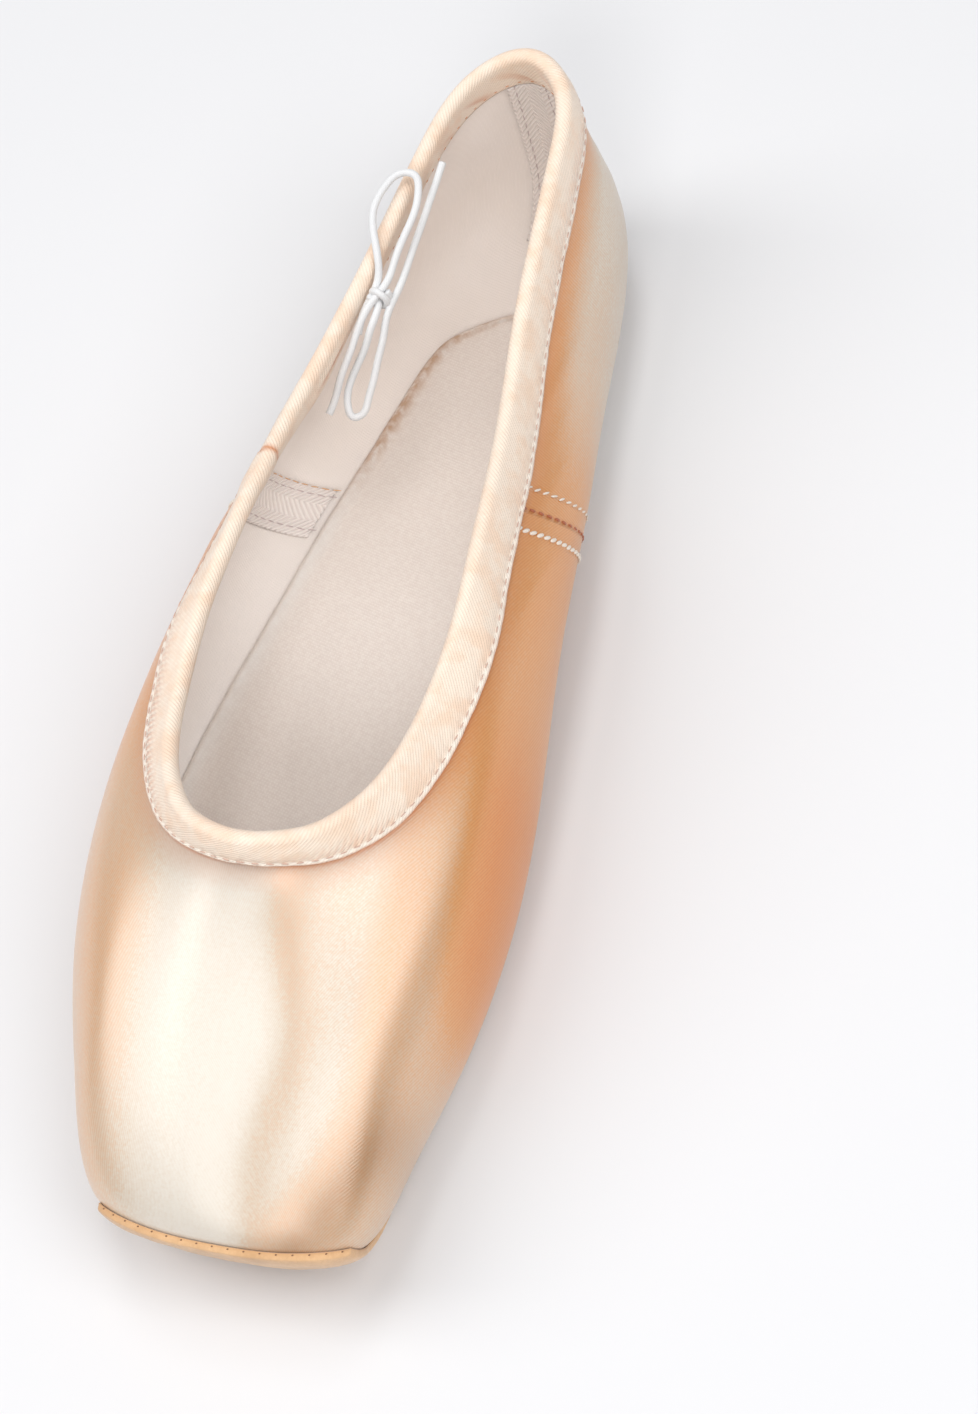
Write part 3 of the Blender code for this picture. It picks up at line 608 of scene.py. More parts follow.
def add_piece(name, points, faces, materials, uv=None, uv_wrap=None, slots=None, attributes=None):
    """One mesh in metres from points in millimetres. A quad that names a corner twice becomes a triangle.
    uv holds a pair for each point or each corner, and uv_wrap the width at which it starts again."""
    mesh = bpy.data.meshes.new(name)
    mesh.from_pydata((points / 1000.0).tolist(), [], [tuple(dict.fromkeys(face)) for face in faces.tolist()])
    for material in materials:
        mesh.materials.append(material)
    if slots is not None:
        mesh.polygons.foreach_set("material_index", slots.astype(np.int32))
    if uv is not None:
        pairs = uv if uv.ndim == 3 else uv[faces]
        if uv_wrap:
            wide = np.ptp(pairs[..., 0], axis=1, keepdims=True) > uv_wrap / 2.0
            pairs[..., 0] += uv_wrap * (wide & (pairs[..., 0] < uv_wrap / 2.0))
        new = np.ones(faces.shape, bool)
        for k in range(1, faces.shape[1]):
            new[:, k] = (faces[:, k, None] != faces[:, :k]).all(axis=1)
        layer = mesh.uv_layers.new(name="UVMap")
        layer.data.foreach_set("uv", pairs[new].astype(np.float32).ravel())
    for key, values in (attributes or {}).items():
        layer = mesh.attributes.new(key, "FLOAT", "POINT")
        layer.data.foreach_set("value", values.astype(np.float32).ravel())
    mesh.shade_smooth()
    mesh.update()
    return ride_shoe(name, mesh)


def add_tube(name, line, radius, material, sides=16):
    """A round tube with closed ends along a line in millimetres, with its own uv."""
    tangents = unit(np.gradient(line, axis=0))
    side = unit(np.cross(tangents[0], [0.3, 0.2, 1.0]))
    angles = np.arange(sides) * 2.0 * np.pi / sides
    rings = []
    for centre, tangent in zip(line, tangents):
        side = unit(side - tangent * side.dot(tangent))
        other = np.cross(tangent, side)
        rings.append(centre + radius * (np.cos(angles)[:, None] * side + np.sin(angles)[:, None] * other))
    points = np.concatenate([*rings, [line[0], line[-1]]])
    start_centre, end_centre = len(points) - 2, len(points) - 1
    last_ring = start_centre - sides
    faces = ring_faces(len(line), sides, False).tolist()
    for i in range(sides):
        j = (i + 1) % sides
        faces.append((start_centre, j, i, start_centre))
        faces.append((end_centre, last_ring + i, last_ring + j, end_centre))
    walked = lengths_along(line) / 1000.0
    uv = np.stack([np.tile(angles / (2.0 * np.pi), len(line)), np.repeat(walked, sides)], axis=1)
    uv = np.concatenate([uv, [[0.5, 0.0], [0.5, walked[-1]]]])
    return add_piece(name, points, np.array(faces), [material], uv=uv, uv_wrap=1.0)


def noise_wave(x, seed):
    """A soft wander between about -1 and 1, the same each time, for a number or an array."""
    total = np.zeros_like(np.asarray(x, float))
    for k, (rate, weight) in enumerate(((1.0, 0.5), (2.3, 0.3), (4.9, 0.2))):
        total += weight * np.sin(rate * x + 1.7 * seed + 2.1 * k)
    return total


# Finishes


def add_node(tree, kind, values=None, **settings):
    """A node with its settings and input values; a value that is a socket is linked."""
    node = tree.nodes.new(kind)
    for key, value in settings.items():
        setattr(node, key, value)
    for key, value in (values or {}).items():
        if isinstance(value, bpy.types.NodeSocket):
            tree.links.new(value, node.inputs[key])
        else:
            node.inputs[key].default_value = value
    return node


# The wave texture's period at a scale of 1
WAVE_PERIOD = 2.0 * math.pi / 20.0


class Finish:
    """A Principled material whose nodes are added one after another."""

    def __init__(self, name, roughness, **sockets):
        self.material = bpy.data.materials.new(name)
        self.material.use_nodes = True
        self.tree = self.material.node_tree
        self.shader = self.tree.nodes["Principled BSDF"]
        self.shader.inputs["Roughness"].default_value = roughness
        for key, value in sockets.items():
            self.shader.inputs[key.replace("_", " ")].default_value = value

    def node(self, kind, values=None, **settings):
        """A node of this material."""
        return add_node(self.tree, kind, values, **settings)

    def link(self, output, socket):
        """An output linked to the shader's own socket."""
        self.tree.links.new(output, self.shader.inputs[socket])

    def attribute(self, name):
        """The piece's own attribute."""
        return self.node("ShaderNodeAttribute", attribute_name=name).outputs["Fac"]

    def place(self, source="Object", scale=(1.0, 1.0, 1.0), turn=(0.0, 0.0, 0.0)):
        """Object or UV coordinates, scaled and turned."""
        coordinates = self.node("ShaderNodeTexCoord").outputs[source]
        values = {"Vector": coordinates, "Scale": scale, "Rotation": turn}
        return self.node("ShaderNodeMapping", values).outputs["Vector"]

    def axis(self, source, axis):
        """One axis of the Object or UV coordinates."""
        return self.node("ShaderNodeSeparateXYZ", {"Vector": self.place(source)}).outputs[axis]

    def noise(self, scale, detail=2.0, roughness=0.5, stretch=(1.0, 1.0, 1.0)):
        """Noise over the object's own coordinates, drawn out along an axis where the stretch is under 1."""
        place = self.place(scale=stretch)
        values = {"Vector": place, "Scale": scale, "Detail": detail, "Roughness": roughness}
        return self.node("ShaderNodeTexNoise", values).outputs["Fac"]

    def bands(self, vector, period, distortion=0.0):
        """Fine parallel lines across X, a period apart in metres."""
        values = {"Vector": vector, "Scale": WAVE_PERIOD / period, "Distortion": distortion}
        values.update({"Detail": 1.0, "Detail Scale": 0.5})
        return self.node("ShaderNodeTexWave", values).outputs["Fac"]

    def maths(self, operation, first, second=0.0):
        """A sum, product or other operation on values."""
        return self.node("ShaderNodeMath", {0: first, 1: second}, operation=operation).outputs[0]

    def times(self, first, second):
        """One value multiplied by another."""
        return self.maths("MULTIPLY", first, second)

    def spread(self, value, from_low, from_high, to_low=0.0, to_high=1.0):
        """The value moved from one range to another."""
        values = {"Value": value, "From Min": from_low, "From Max": from_high}
        values.update({"To Min": to_low, "To Max": to_high})
        return self.node("ShaderNodeMapRange", values).outputs[0]

    def mix(self, share, first, second, blend="MIX"):
        """Two colours mixed by a share."""
        values = {0: share}
        for number, colour in ((6, first), (7, second)):
            values[number] = colour if isinstance(colour, bpy.types.NodeSocket) else (*colour, 1.0)
        return self.node("ShaderNodeMix", values, data_type="RGBA", blend_type=blend).outputs[2]

    def colour(self, output):
        """The surface's colour."""
        self.link(output, "Base Color")

    def bump(self, *heights):
        """Bumps one over another: each is a height output, its depth in metres and its strength."""
        below = {}
        for height, depth, strength in heights:
            values = {"Height": height, "Distance": depth, "Strength": strength, **below}
            below = {"Normal": self.node("ShaderNodeBump", values).outputs["Normal"]}
        self.link(below["Normal"], "Normal")


def tinted(colour, factors):
    """A colour with each channel multiplied and kept under 1."""
    return tuple(min(1.0, c * f) for c, f in zip(colour, factors))


def satin_finish(settings):
    """Peach satin: slanting twill lines, lengthwise gloss, painted highlight and painted shade bands, and a
    deeper painted shade along the binding and the seams.
    """
    base, light = tuple(settings.satin_colour), tuple(settings.satin_highlight_colour)
    made = Finish(
        "peach_satin", 0.36, Metallic=0.15, IOR=2.0, Anisotropic=0.8, Sheen_Weight=0.05, Sheen_Roughness=0.4,
        Coat_Weight=0.2, Coat_Roughness=0.28, Coat_IOR=1.6,
    )
    tangent = made.node("ShaderNodeTangent", direction_type="UV_MAP", uv_map="UVMap")
    made.link(tangent.outputs["Tangent"], "Tangent")
    # Painted light: the tone attribute holds the satin's painted highlight and painted shade bands, and the
    # one after it a painted shade that dims them
    seam, hem, tone, painted_shade = [made.attribute(name) for name in ("seam", "hem", "tone", "painted_shade")]
    front = made.bands(made.place("UV", turn=(0.0, 0.0, 0.88)), 0.00062, 0.3)
    rear = made.bands(made.place("UV", turn=(0.0, 0.0, -0.14)), 0.00062, 0.3)
    behind = made.maths("GREATER_THAN", seam, 0.0)
    before = made.maths("SUBTRACT", 1.0, behind)
    lines = made.maths("ADD", made.times(rear, behind), made.times(front, before))
    yarn = made.noise(1400.0, stretch=(1.0, 0.10, 1.0))
    cloud = made.noise(34.0, 3.0, stretch=(1.0, 0.35, 1.0))
    grain = made.noise(1700.0)
    # Painted highlight where the tone is high, mixed towards the light colour and then near white; painted
    # shade, deep orange, where it falls below zero on the outer flank
    clouded = made.maths("ADD", tone, made.spread(cloud, 0.3, 0.7, -0.14, 0.14))
    share = made.maths("ADD", clouded, made.spread(grain, 0.3, 0.7, -0.10, 0.10))
    middling = made.mix(made.spread(share, 0.0, 0.75), base, light)
    pale = made.mix(made.spread(share, 0.65, 1.0), middling, tinted(light, (1.10, 1.20, 1.32)))
    ground = made.mix(made.spread(share, -0.6, 0.0, 1.0, 0.0), pale, tinted(base, (0.98, 0.70, 0.22)))
    twill = made.times(lines, made.spread(tone, 0.0, 1.0, 1.0, 0.45))
    deep = made.mix(twill, ground, (0.90, 0.77, 0.64), "MULTIPLY")
    speckled = made.mix(made.spread(yarn, 0.3, 0.7, 0.0, 0.16), deep, (0.88, 0.82, 0.76), "MULTIPLY")
    # Painted shade: darker where the dimming attribute rises
    dimmed = made.mix(painted_shade, speckled, (0.70, 0.60, 0.49), "MULTIPLY")
    # Painted shade under the binding's edge and in the side seams' valleys
    from_seam = made.maths("ABSOLUTE", seam)
    beside = made.spread(from_seam, 0.0, 0.0007, 0.55, 0.0)
    hem_shade_close, hem_shade_wide = made.spread(hem, 0.0003, 0.0014, 0.8, 0.0), made.spread(hem, 0.0, 0.006, 0.35, 0.0)
    shade = made.maths("MAXIMUM", beside, made.maths("MAXIMUM", hem_shade_close, hem_shade_wide))
    made.colour(made.mix(shade, dimmed, tinted(base, (0.86, 0.56, 0.38))))
    made.link(made.spread(cloud, 0.3, 0.7, 0.33, 0.41), "Roughness")
    from_rows = made.maths("ABSOLUTE", made.maths("SUBTRACT", from_seam, settings.seam_row_apart))
    pulled_in = made.spread(from_rows, 0.0, 0.0010, 0.55, 1.0)
    ditch = made.maths("MINIMUM", made.spread(from_seam, 0.0, 0.0009), pulled_in)
    made.bump((lines, 0.00004, 0.35), (yarn, 0.00004, 0.2), (ditch, 0.0005, 0.8))
    return made.material


def lining_finish(settings):
    """Off-white cotton lining with a fine plain weave and soft cloudiness."""
    base = tuple(settings.lining_colour)
    made = Finish("cotton_lining", 0.85, Sheen_Weight=0.25, Sheen_Roughness=0.5)
    across = made.bands(made.place(turn=(0.0, 0.0, 0.2)), 0.00055, 0.4)
    along = made.bands(made.place(turn=(0.3, 0.0, 1.77)), 0.00055, 0.4)
    weave = made.times(across, along)
    cloud = made.noise(42.0, 4.0)
    tone = made.mix(made.spread(cloud, 0.3, 0.7, 0.0, 0.55), base, tinted(base, (0.93, 0.90, 0.86)))
    made.colour(made.mix(made.spread(weave, 0.0, 1.0, 0.14, 0.0), tone, tinted(base, (0.80, 0.77, 0.74))))
    made.bump((weave, 0.00008, 0.45), (cloud, 0.0006, 0.35))
    return made.material


def binding_finish(settings):
    """Matte twill tape with pulled gathers and a painted orange shade along its outer edge; brown where its
    marks attribute rises: wear, the lap's thread line, and painted shade in the drawstring slit.
    """
    base = tuple(settings.binding_colour)
    made = Finish("binding_twill", 0.74, Sheen_Weight=0.30, Sheen_Roughness=0.45)
    twill = made.bands(made.place("UV", turn=(0.0, 0.0, 0.80)), 0.00062, 0.25)
    fine = made.bands(made.place("UV", turn=(0.0, 0.0, -0.70)), 0.00040, 0.3)
    cloudy = made.spread(made.noise(150.0, 3.0), 0.3, 0.7, 0.0, 0.5)
    stained = made.spread(made.noise(170.0, 4.0, 0.6), 0.44, 0.62, 0.0, 0.75)
    tone = made.mix(cloudy, base, tinted(base, (1.04, 1.03, 1.02)))
    patched = made.mix(stained, tone, tinted(base, (0.97, 0.82, 0.72)))
    woven = made.mix(made.spread(twill, 0.0, 1.0, 0.42, 0.0), patched, tinted(base, (0.90, 0.82, 0.76)))
    across = made.axis("UV", "Y")
    piped = made.mix(made.spread(across, 0.0009, 0.0014, 0.75, 0.0), woven, (0.93, 0.85, 0.75))
    folds = made.bands(made.place("UV", turn=(0.0, 0.0, 0.45)), 0.0012, 0.8)
    beside = made.times(made.spread(across, 0.0011, 0.0014), made.spread(across, 0.0024, 0.0058, 1.0, 0.0))
    patchy = made.spread(made.noise(45.0, 1.0), 0.42, 0.62, 0.05, 0.45)
    pulled = made.maths("MAXIMUM", made.attribute("pulled"), patchy)
    gathers = made.times(made.times(folds, beside), pulled)
    gathered = made.mix(made.times(gathers, 0.85), piped, tinted(base, (0.80, 0.54, 0.46)))
    # Painted shade: a thin orange line along the binding's outer edge, where it meets the satin
    hem = made.spread(across, 0.0001, 0.0005, 0.6, 0.0)
    hem_shaded = made.mix(hem, gathered, tinted(base, (0.86, 0.60, 0.46)))
    # Brown marks: wear, the lap's thread line, and painted shade in the drawstring slit
    made.colour(made.mix(made.attribute("marks_and_slit_shade"), hem_shaded, (0.62, 0.25, 0.11)))
    made.bump((twill, 0.00012, 0.6), (fine, 0.00006, 0.4), (gathers, 0.0003, 0.7))
    return made.material


def insole_finish(settings):
    """Grey-beige canvas with fine dots; the edge is painted paler in front, a painted light that lifts the
    shade of the crevice, and is brown and broken beside the heel.
    """
    base = tuple(settings.insole_colour)
    made = Finish("insole_canvas", 0.92, Sheen_Weight=0.15)
    across = made.bands(made.place(turn=(0.0, 0.0, 0.30)), 0.00062, 0.3)
    along = made.bands(made.place(turn=(0.0, 0.0, 1.87)), 0.00062, 0.3)
    dots = made.times(across, along)
    fleck = made.noise(1100.0, 3.0, 0.6)
    cloudy = made.spread(made.noise(30.0, 3.0), 0.3, 0.7, 0.0, 0.6)
    tone = made.mix(cloudy, base, tinted(base, (0.94, 0.93, 0.92)))
    dotted = made.mix(made.spread(dots, 0.1, 0.8, 0.36, 0.0), tone, tinted(base, (0.78, 0.75, 0.72)))
    flecked = made.mix(made.spread(fleck, 0.4, 0.65, 0.0, 0.22), dotted, tinted(base, (1.2, 1.2, 1.2)))
    edge = made.attribute("edge")
    lengthwise = made.axis("Object", "Y")
    worn = made.times(made.spread(lengthwise, 0.042, 0.056), made.spread(lengthwise, 0.084, 0.092, 1.0, 0.0))
    broken = made.times(edge, made.spread(made.noise(420.0), 0.35, 0.6, 0.1, 0.8))
    shown = made.times(broken, made.maths("ADD", made.times(worn, 0.85), 0.08))
    # Painted light: the front of the edge lightened against the shade in the crevice beside the lining
    edge_painted_light = made.times(edge, made.spread(lengthwise, 0.030, 0.045, 0.55, 0.0))
    lighter = made.mix(edge_painted_light, flecked, (0.95, 0.93, 0.89))
    made.colour(made.mix(shown, lighter, (0.50, 0.27, 0.13)))
    made.bump((dots, 0.00010, 0.35), (fleck, 0.0001, 0.4))
    return made.material


def tape_finish(settings):
    """Cotton tape woven in herringbone, three zigzags wide."""
    base = tinted(settings.lining_colour, (0.98, 0.97, 0.96))
    made = Finish("herringbone_tape", 0.88, Sheen_Weight=0.2)
    zigzag = made.maths("PINGPONG", made.axis("UV", "X"), 0.0043)
    slant = made.maths("ADD", made.axis("UV", "Y"), zigzag)
    rib = made.spread(made.maths("SINE", made.times(slant, 2.0 * math.pi / 0.0014)), -1.0, 1.0)
    fuzz = made.noise(900.0)
    ribbed = made.mix(made.spread(rib, 0.0, 1.0, 0.5, 0.0), base, tinted(base, (0.78, 0.73, 0.73)))
    made.colour(made.mix(made.spread(fuzz, 0.35, 0.65, 0.0, 0.15), ribbed, tinted(base, (1.1, 1.1, 1.1))))
    made.bump((rib, 0.00022, 0.7), (fuzz, 0.00006, 0.4))
    return made.material


def suede_finish(name, base, cloud_scale, edge_colour):
    """Brushed suede: mottled nap, soft sheen, and a darker cut edge where the edge attribute rises."""
    made = Finish(name, 0.95, Sheen_Weight=0.35, Sheen_Roughness=0.55)
    nap = made.noise(1500.0, 3.0, 0.7, stretch=(1.0, 0.7, 1.0))
    mottle = made.noise(cloud_scale, 4.0, 0.62)
    darker, lighter = tinted(base, (0.84, 0.80, 0.76)), tinted(base, (1.10, 1.12, 1.14))
    tone = made.mix(made.spread(mottle, 0.32, 0.68), darker, lighter)
    napped = made.mix(made.spread(nap, 0.3, 0.7, 0.0, 0.35), tone, tinted(base, (0.70, 0.64, 0.58)))
    made.colour(made.mix(made.attribute("edge"), napped, edge_colour))
    made.bump((nap, 0.00016, 0.6), (mottle, 0.0004, 0.35))
    return made.material


def cord_finish(settings):
    """Cool white elastic cord with a fine knit."""
    base = tuple(settings.cord_colour)
    made = Finish("elastic_cord", 0.58, Sheen_Weight=0.3)
    knits = [
        made.bands(made.place("UV", scale=(0.0047, 1.0, 1.0), turn=(0.0, 0.0, slant)), 0.00042, 0.2)
        for slant in (0.6, -0.6)
    ]
    braid = made.maths("MAXIMUM", *knits)
    made.colour(made.mix(made.spread(braid, 0.0, 1.0, 0.35, 0.0), base, tinted(base, (0.80, 0.81, 0.84))))
    made.bump((braid, 0.00009, 0.6))
    return made.material


def thread_finish(name, colour, roughness=0.6):
    """Sewing thread with a fine twist."""
    made = Finish(name, roughness, Sheen_Weight=0.2)
    twist = made.bands(made.place(turn=(0.5, 0.3, 0.9)), 0.00022, 0.5)
    made.colour(made.mix(made.spread(twist, 0.0, 1.0, 0.4, 0.0), colour, tinted(colour, (0.78, 0.74, 0.70))))
    made.bump((twist, 0.00004, 0.5))
    return made.material


# Stitches


def stitch_tree(name, material, seed):
    """Lays small rounded stitches along lines, a pitch apart, each turned by a slant."""
    tree = bpy.data.node_groups.new(name, "GeometryNodeTree")
    face = tree.interface
    face.new_socket("Geometry", in_out="INPUT", socket_type="NodeSocketGeometry")
    sizes = (("Length", 0.002), ("Width", 0.0004), ("Height", 0.0003), ("Pitch", 0.003), ("Slant", 0.0))
    for label, start in sizes:
        face.new_socket(label, in_out="INPUT", socket_type="NodeSocketFloat").default_value = start
    face.new_socket("Geometry", in_out="OUTPUT", socket_type="NodeSocketGeometry")
    given = tree.nodes.new("NodeGroupInput").outputs

    def add(output, kind, values=None, **settings):
        """The named output of a new node."""
        return add_node(tree, kind, values, **settings).outputs[output]

    curve = add("Curve", "GeometryNodeMeshToCurve", {"Mesh": given["Geometry"]})
    values = {"Curve": curve, "Length": given["Pitch"]}
    spaced = add("Curve", "GeometryNodeResampleCurve", values, mode="LENGTH")
    ball = add("Mesh", "GeometryNodeMeshUVSphere", {"Segments": 8, "Rings": 5, "Radius": 0.5})
    values = {"Name": "outward"}
    outward = add("Attribute", "GeometryNodeInputNamedAttribute", values, data_type="FLOAT_VECTOR")
    tangent = add("Tangent", "GeometryNodeInputTangent")
    along = add("Rotation", "FunctionNodeAlignRotationToVector", {"Vector": tangent}, axis="X")
    values = {"Rotation": along, "Vector": outward}
    upright = add("Rotation", "FunctionNodeAlignRotationToVector", values, axis="Z", pivot_axis="X")
    wobble = add(1, "FunctionNodeRandomValue", {2: -0.10, 3: 0.10, "Seed": seed}, data_type="FLOAT")
    slant = add(0, "ShaderNodeMath", {0: given["Slant"], 1: wobble}, operation="ADD")
    values = {"Rotation": upright, "Rotate By": add("Vector", "ShaderNodeCombineXYZ", {"Z": slant})}
    turned = add("Rotation", "FunctionNodeRotateRotation", values, rotation_space="LOCAL")
    values = {"X": given["Length"], "Y": given["Width"], "Z": given["Height"]}
    size = add("Vector", "ShaderNodeCombineXYZ", values)
    values = {"Points": spaced, "Instance": ball, "Rotation": turned, "Scale": size}
    laid = add("Instances", "GeometryNodeInstanceOnPoints", values)
    real = add("Geometry", "GeometryNodeRealizeInstances", {"Geometry": laid})
    coloured = add("Geometry", "GeometryNodeSetMaterial", {"Geometry": real, "Material": material})
    add_node(tree, "NodeGroupOutput", {"Geometry": coloured})
    return tree


def add_stitches(name, lines, material, seed, slot, **sizes):
    """Stitches along lines of unbent points with outward directions, as one plain mesh."""
    points, edges, outward = [], [], []
    for line, directions in lines:
        first = len(points)
        points += (bend_shoe(line) / 1000.0).tolist()
        outward += directions.tolist()
        edges += [(first + i, first + i + 1) for i in range(len(line) - 1)]
    mesh = bpy.data.meshes.new(name + "_line")
    mesh.from_pydata(points, edges, [])
    layer = mesh.attributes.new("outward", "FLOAT_VECTOR", "POINT")
    layer.data.foreach_set("vector", np.array(outward, np.float32).ravel())
    guide = bpy.data.objects.new(name + "_line", mesh)
    bpy.context.scene.collection.objects.link(guide)
    tree = stitch_tree(name + "_nodes", material, seed)
    modifier = guide.modifiers.new("Stitches", "NODES")
    modifier.node_group = tree
    sockets = {item.name: item.identifier for item in tree.interface.items_tree if item.in_out == "INPUT"}
    for label, value in sizes.items():
        modifier[sockets[label.capitalize()]] = float(value)
    graph = bpy.context.evaluated_depsgraph_get()
    graph.update()
    made = bpy.data.meshes.new_from_object(guide.evaluated_get(graph))
    if not made.polygons:
        raise RuntimeError(name + " has no stitches")
    made.name = name
    made.shade_smooth()
    bpy.data.objects.remove(guide, do_unlink=True)
    piece = ride_shoe(name, made)
    return piece


def skin_line(side, levels, offset, outwards):
    """A side seam's line over the skin, moved to the heel by the offset, with its outward directions."""
    around = seam_places(side, levels, SEAM_AT_RIM, offset)
    return offset_skin(around, levels, np.full(len(levels), outwards)), skin_normals(around, levels)


def lining_line(around, levels):
    """A line on a tape inside the upper, with its directions into the shoe."""
    points, normals = skin_points(around, levels), skin_normals(around, levels)
    return points - normals * (wall_at(points, levels) + TAPE_STITCH_DEPTH)[:, None], -normals

def collar_line(row_from, row_to, down, outwards, count=900):
    """A line along the collar between two row numbers, with its outward directions."""
    numbers = np.linspace(row_from, row_to, count)
    around = round_at(numbers)
    rows = down * (width_share(numbers) if outwards > 0 else np.ones(count))[None, :]
    levels = collar_levels(around, rows)[0]
    line = collar_points(around, rows, np.full((1, count), float(outwards)))[0]
    return line, skin_normals(around, levels)


# Pieces


def satin_swell(points, around, levels, fold):
    """How far the satin stands over the skin: toe box folds, pleats at the soles, waves on the quarters."""
    x, y = points[..., 0], points[..., 1]
    box = fall(y, -48.0, 16.0) * rise(levels, 4.05, 0.5) * fall(levels, 6.9, 0.8)
    drift = x + 0.06 * (y + 90.0)
    folds = np.cos(2.0 * np.pi * (drift + 7.0) / TOE_FOLD_SPACING) * hill(drift, 2.0, 24.0)
    walked = around * SHOE_ROUND
    pleats = np.abs(np.sin(np.pi * walked / PLEAT_SPACING + 0.8 * np.sin(walked / 9.0)))
    gathered = rise(levels, 0.5, 0.4) * fall(levels, 2.1, 0.7) * (rise(y, 62.0, 25.0) + fall(y, -52.0, 20.0))
    quarter = rise(y, -10.0, 30.0) * rise(levels, 1.6, 0.8) * fall(levels, 6.4, 0.8) * rise(levels, 2.0, 2.0)
    waves = QUARTER_WAVE * quarter * noise_wave(y / 11.0 + 1.6 * levels, 3)
    return 1000.0 * fold * box * folds - PLEAT_DEPTH * gathered * (1.0 - pleats) + waves


def fabric_uv(points, faces, seam):
    """Where each face's corners lie on the satin's weave: the toe's cloth runs over the top and down the
    sides, and the heel's cloth, behind the side seams, runs round the back."""
    x, y, z = points[..., 0], points[..., 1], points[..., 2]
    side = np.sin(0.5 * np.pi * np.clip(x / 22.0, -1.0, 1.0))
    toe = np.stack([y, x + side * (60.0 - z)], axis=-1).reshape(-1, 2)
    middle = points[len(points) // 2]
    walked = lengths_along(middle)[None, :] + 0.0 * z
    heel = np.stack([walked, -z], axis=-1).reshape(-1, 2)
    behind = seam.ravel()[faces].mean(axis=1) > 0.0
    return np.where(behind[:, None, None], heel[faces], toe[faces]) / 1000.0


def seam_apart(points):
    """Signed distance from the side seam's line, towards the heel, in metres."""
    rim_height = skin_points(seam_row(1), TOP_LEVEL)[2]
    apart = points[..., 1] - SEAM_AT_RIM - SEAM_LEAN * (rim_height - points[..., 2])
    return np.clip(apart / math.hypot(1.0, SEAM_LEAN) / 1000.0, -0.03, 0.03)


def satin_painted_light(points, hem):
    """Painted light and shade of the satin: how light it is painted, and how far painted shade dims it: a
    painted highlight band on the toe beside a tan painted-shade streak, then cream and a dim painted-shade
    fold towards the tip, a painted highlight low on the heel, tan elsewhere, and the deepest painted shade on
    the outer flank."""
    x, y = points[..., 0], points[..., 1]
    border = 26.5 - 8.0 * (np.minimum(0.0, y + 84.0) / 24.0) ** 2
    middle = 7.0 + 5.5 * hill(y, -86.0, 15.0)
    shade_streak = hill(x, middle, 4.0)
    cream = 1.0 - CREAM_SHADE * rise(x, middle - 4.0, 7.0)
    shaded_flank = rise(x, 31.5, 8.0) * rise(y, -100.0, 40.0)
    ground = TOE_PAINTED_LIGHT * (1.0 - shaded_flank)
    pale = rise(x, -26.5, 17.0) * fall(x, border, 6.0) * cream * (1.0 - STREAK_SHADE * shade_streak)
    toe = (ground + (1.0 - ground) * pale) * fall(y, -22.0, 26.0)
    heel = HEEL_PAINTED_LIGHT * rise(y, 22.0, 45.0) * rise(hem, 1.0, 10.0)
    deep = FLANK_PAINTED_SHADE * shaded_flank * fall(y, -8.0, 30.0)
    painted_shade = hill(x, border + 4.0, 3.5) * fall(y, -84.0, 18.0) + STREAK_DIM * shade_streak * fall(y, -40.0, 20.0)
    return np.clip(toe + heel - deep, -1.0, 1.0), np.clip(painted_shade, 0.0, 1.0)


def make_upper(settings):
    """The satin upper with its lining, one closed hollow mesh."""
    around = places_round(ROUND_STEPS)[None, :]
    outer_levels = np.arange(0, int(TOP_LEVEL) * FINE_STEPS + 1)[:, None] / FINE_STEPS
    inner_levels = outer_levels[::4][::-1]
    outer = skin_points(around, outer_levels)
    swell = satin_swell(outer, around, outer_levels, settings.satin_fold)
    outer = outer + skin_normals(around, outer_levels) * swell[..., None]
    inner = skin_points(around, inner_levels)
    ripple = LINING_RIPPLE * noise_wave(inner[..., 1] / 6.0 + 1.3 * inner_levels, 5)
    ripple = ripple * fall(inner_levels, 6.0, 1.5) * rise(inner_levels, 1.4, 1.0)
    inner = inner - skin_normals(around, inner_levels) * (wall_at(inner, inner_levels) + ripple)[..., None]
    rings = np.concatenate([outer, inner])
    faces = ring_faces(*rings.shape[:2], True)
    slots = np.zeros(len(faces), int)
    slots[outer[..., 0].size:] = 1
    down = np.zeros(rings.shape[:2])
    steps = np.linalg.norm(np.diff(outer, axis=0), axis=2)
    down[: len(outer) - 1] = np.cumsum(steps[::-1], axis=0)[::-1]
    share = width_share(np.arange(around.size) / ROUND_STEPS)
    hem = np.clip(down / 1000.0 - settings.binding_width * share[None, :], -0.01, 0.05)
    # The satin's painted highlight and painted shade, for its finish
    tone, painted_shade = np.zeros((2, *down.shape))
    tone[: len(outer)], painted_shade[: len(outer)] = satin_painted_light(outer, 1000.0 * hem[: len(outer)])
    points = bend_shoe(rings).reshape(-1, 3)
    turned = facing_out(points, faces)
    seam = seam_apart(rings)
    piece = add_piece(
        "satin_upper", points, turned, [satin_finish(settings), lining_finish(settings)], slots=slots,
        uv=fabric_uv(rings, turned, seam), attributes={"hem": hem, "seam": seam, "tone": tone, "painted_shade": painted_shade},
    )
    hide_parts("upper")


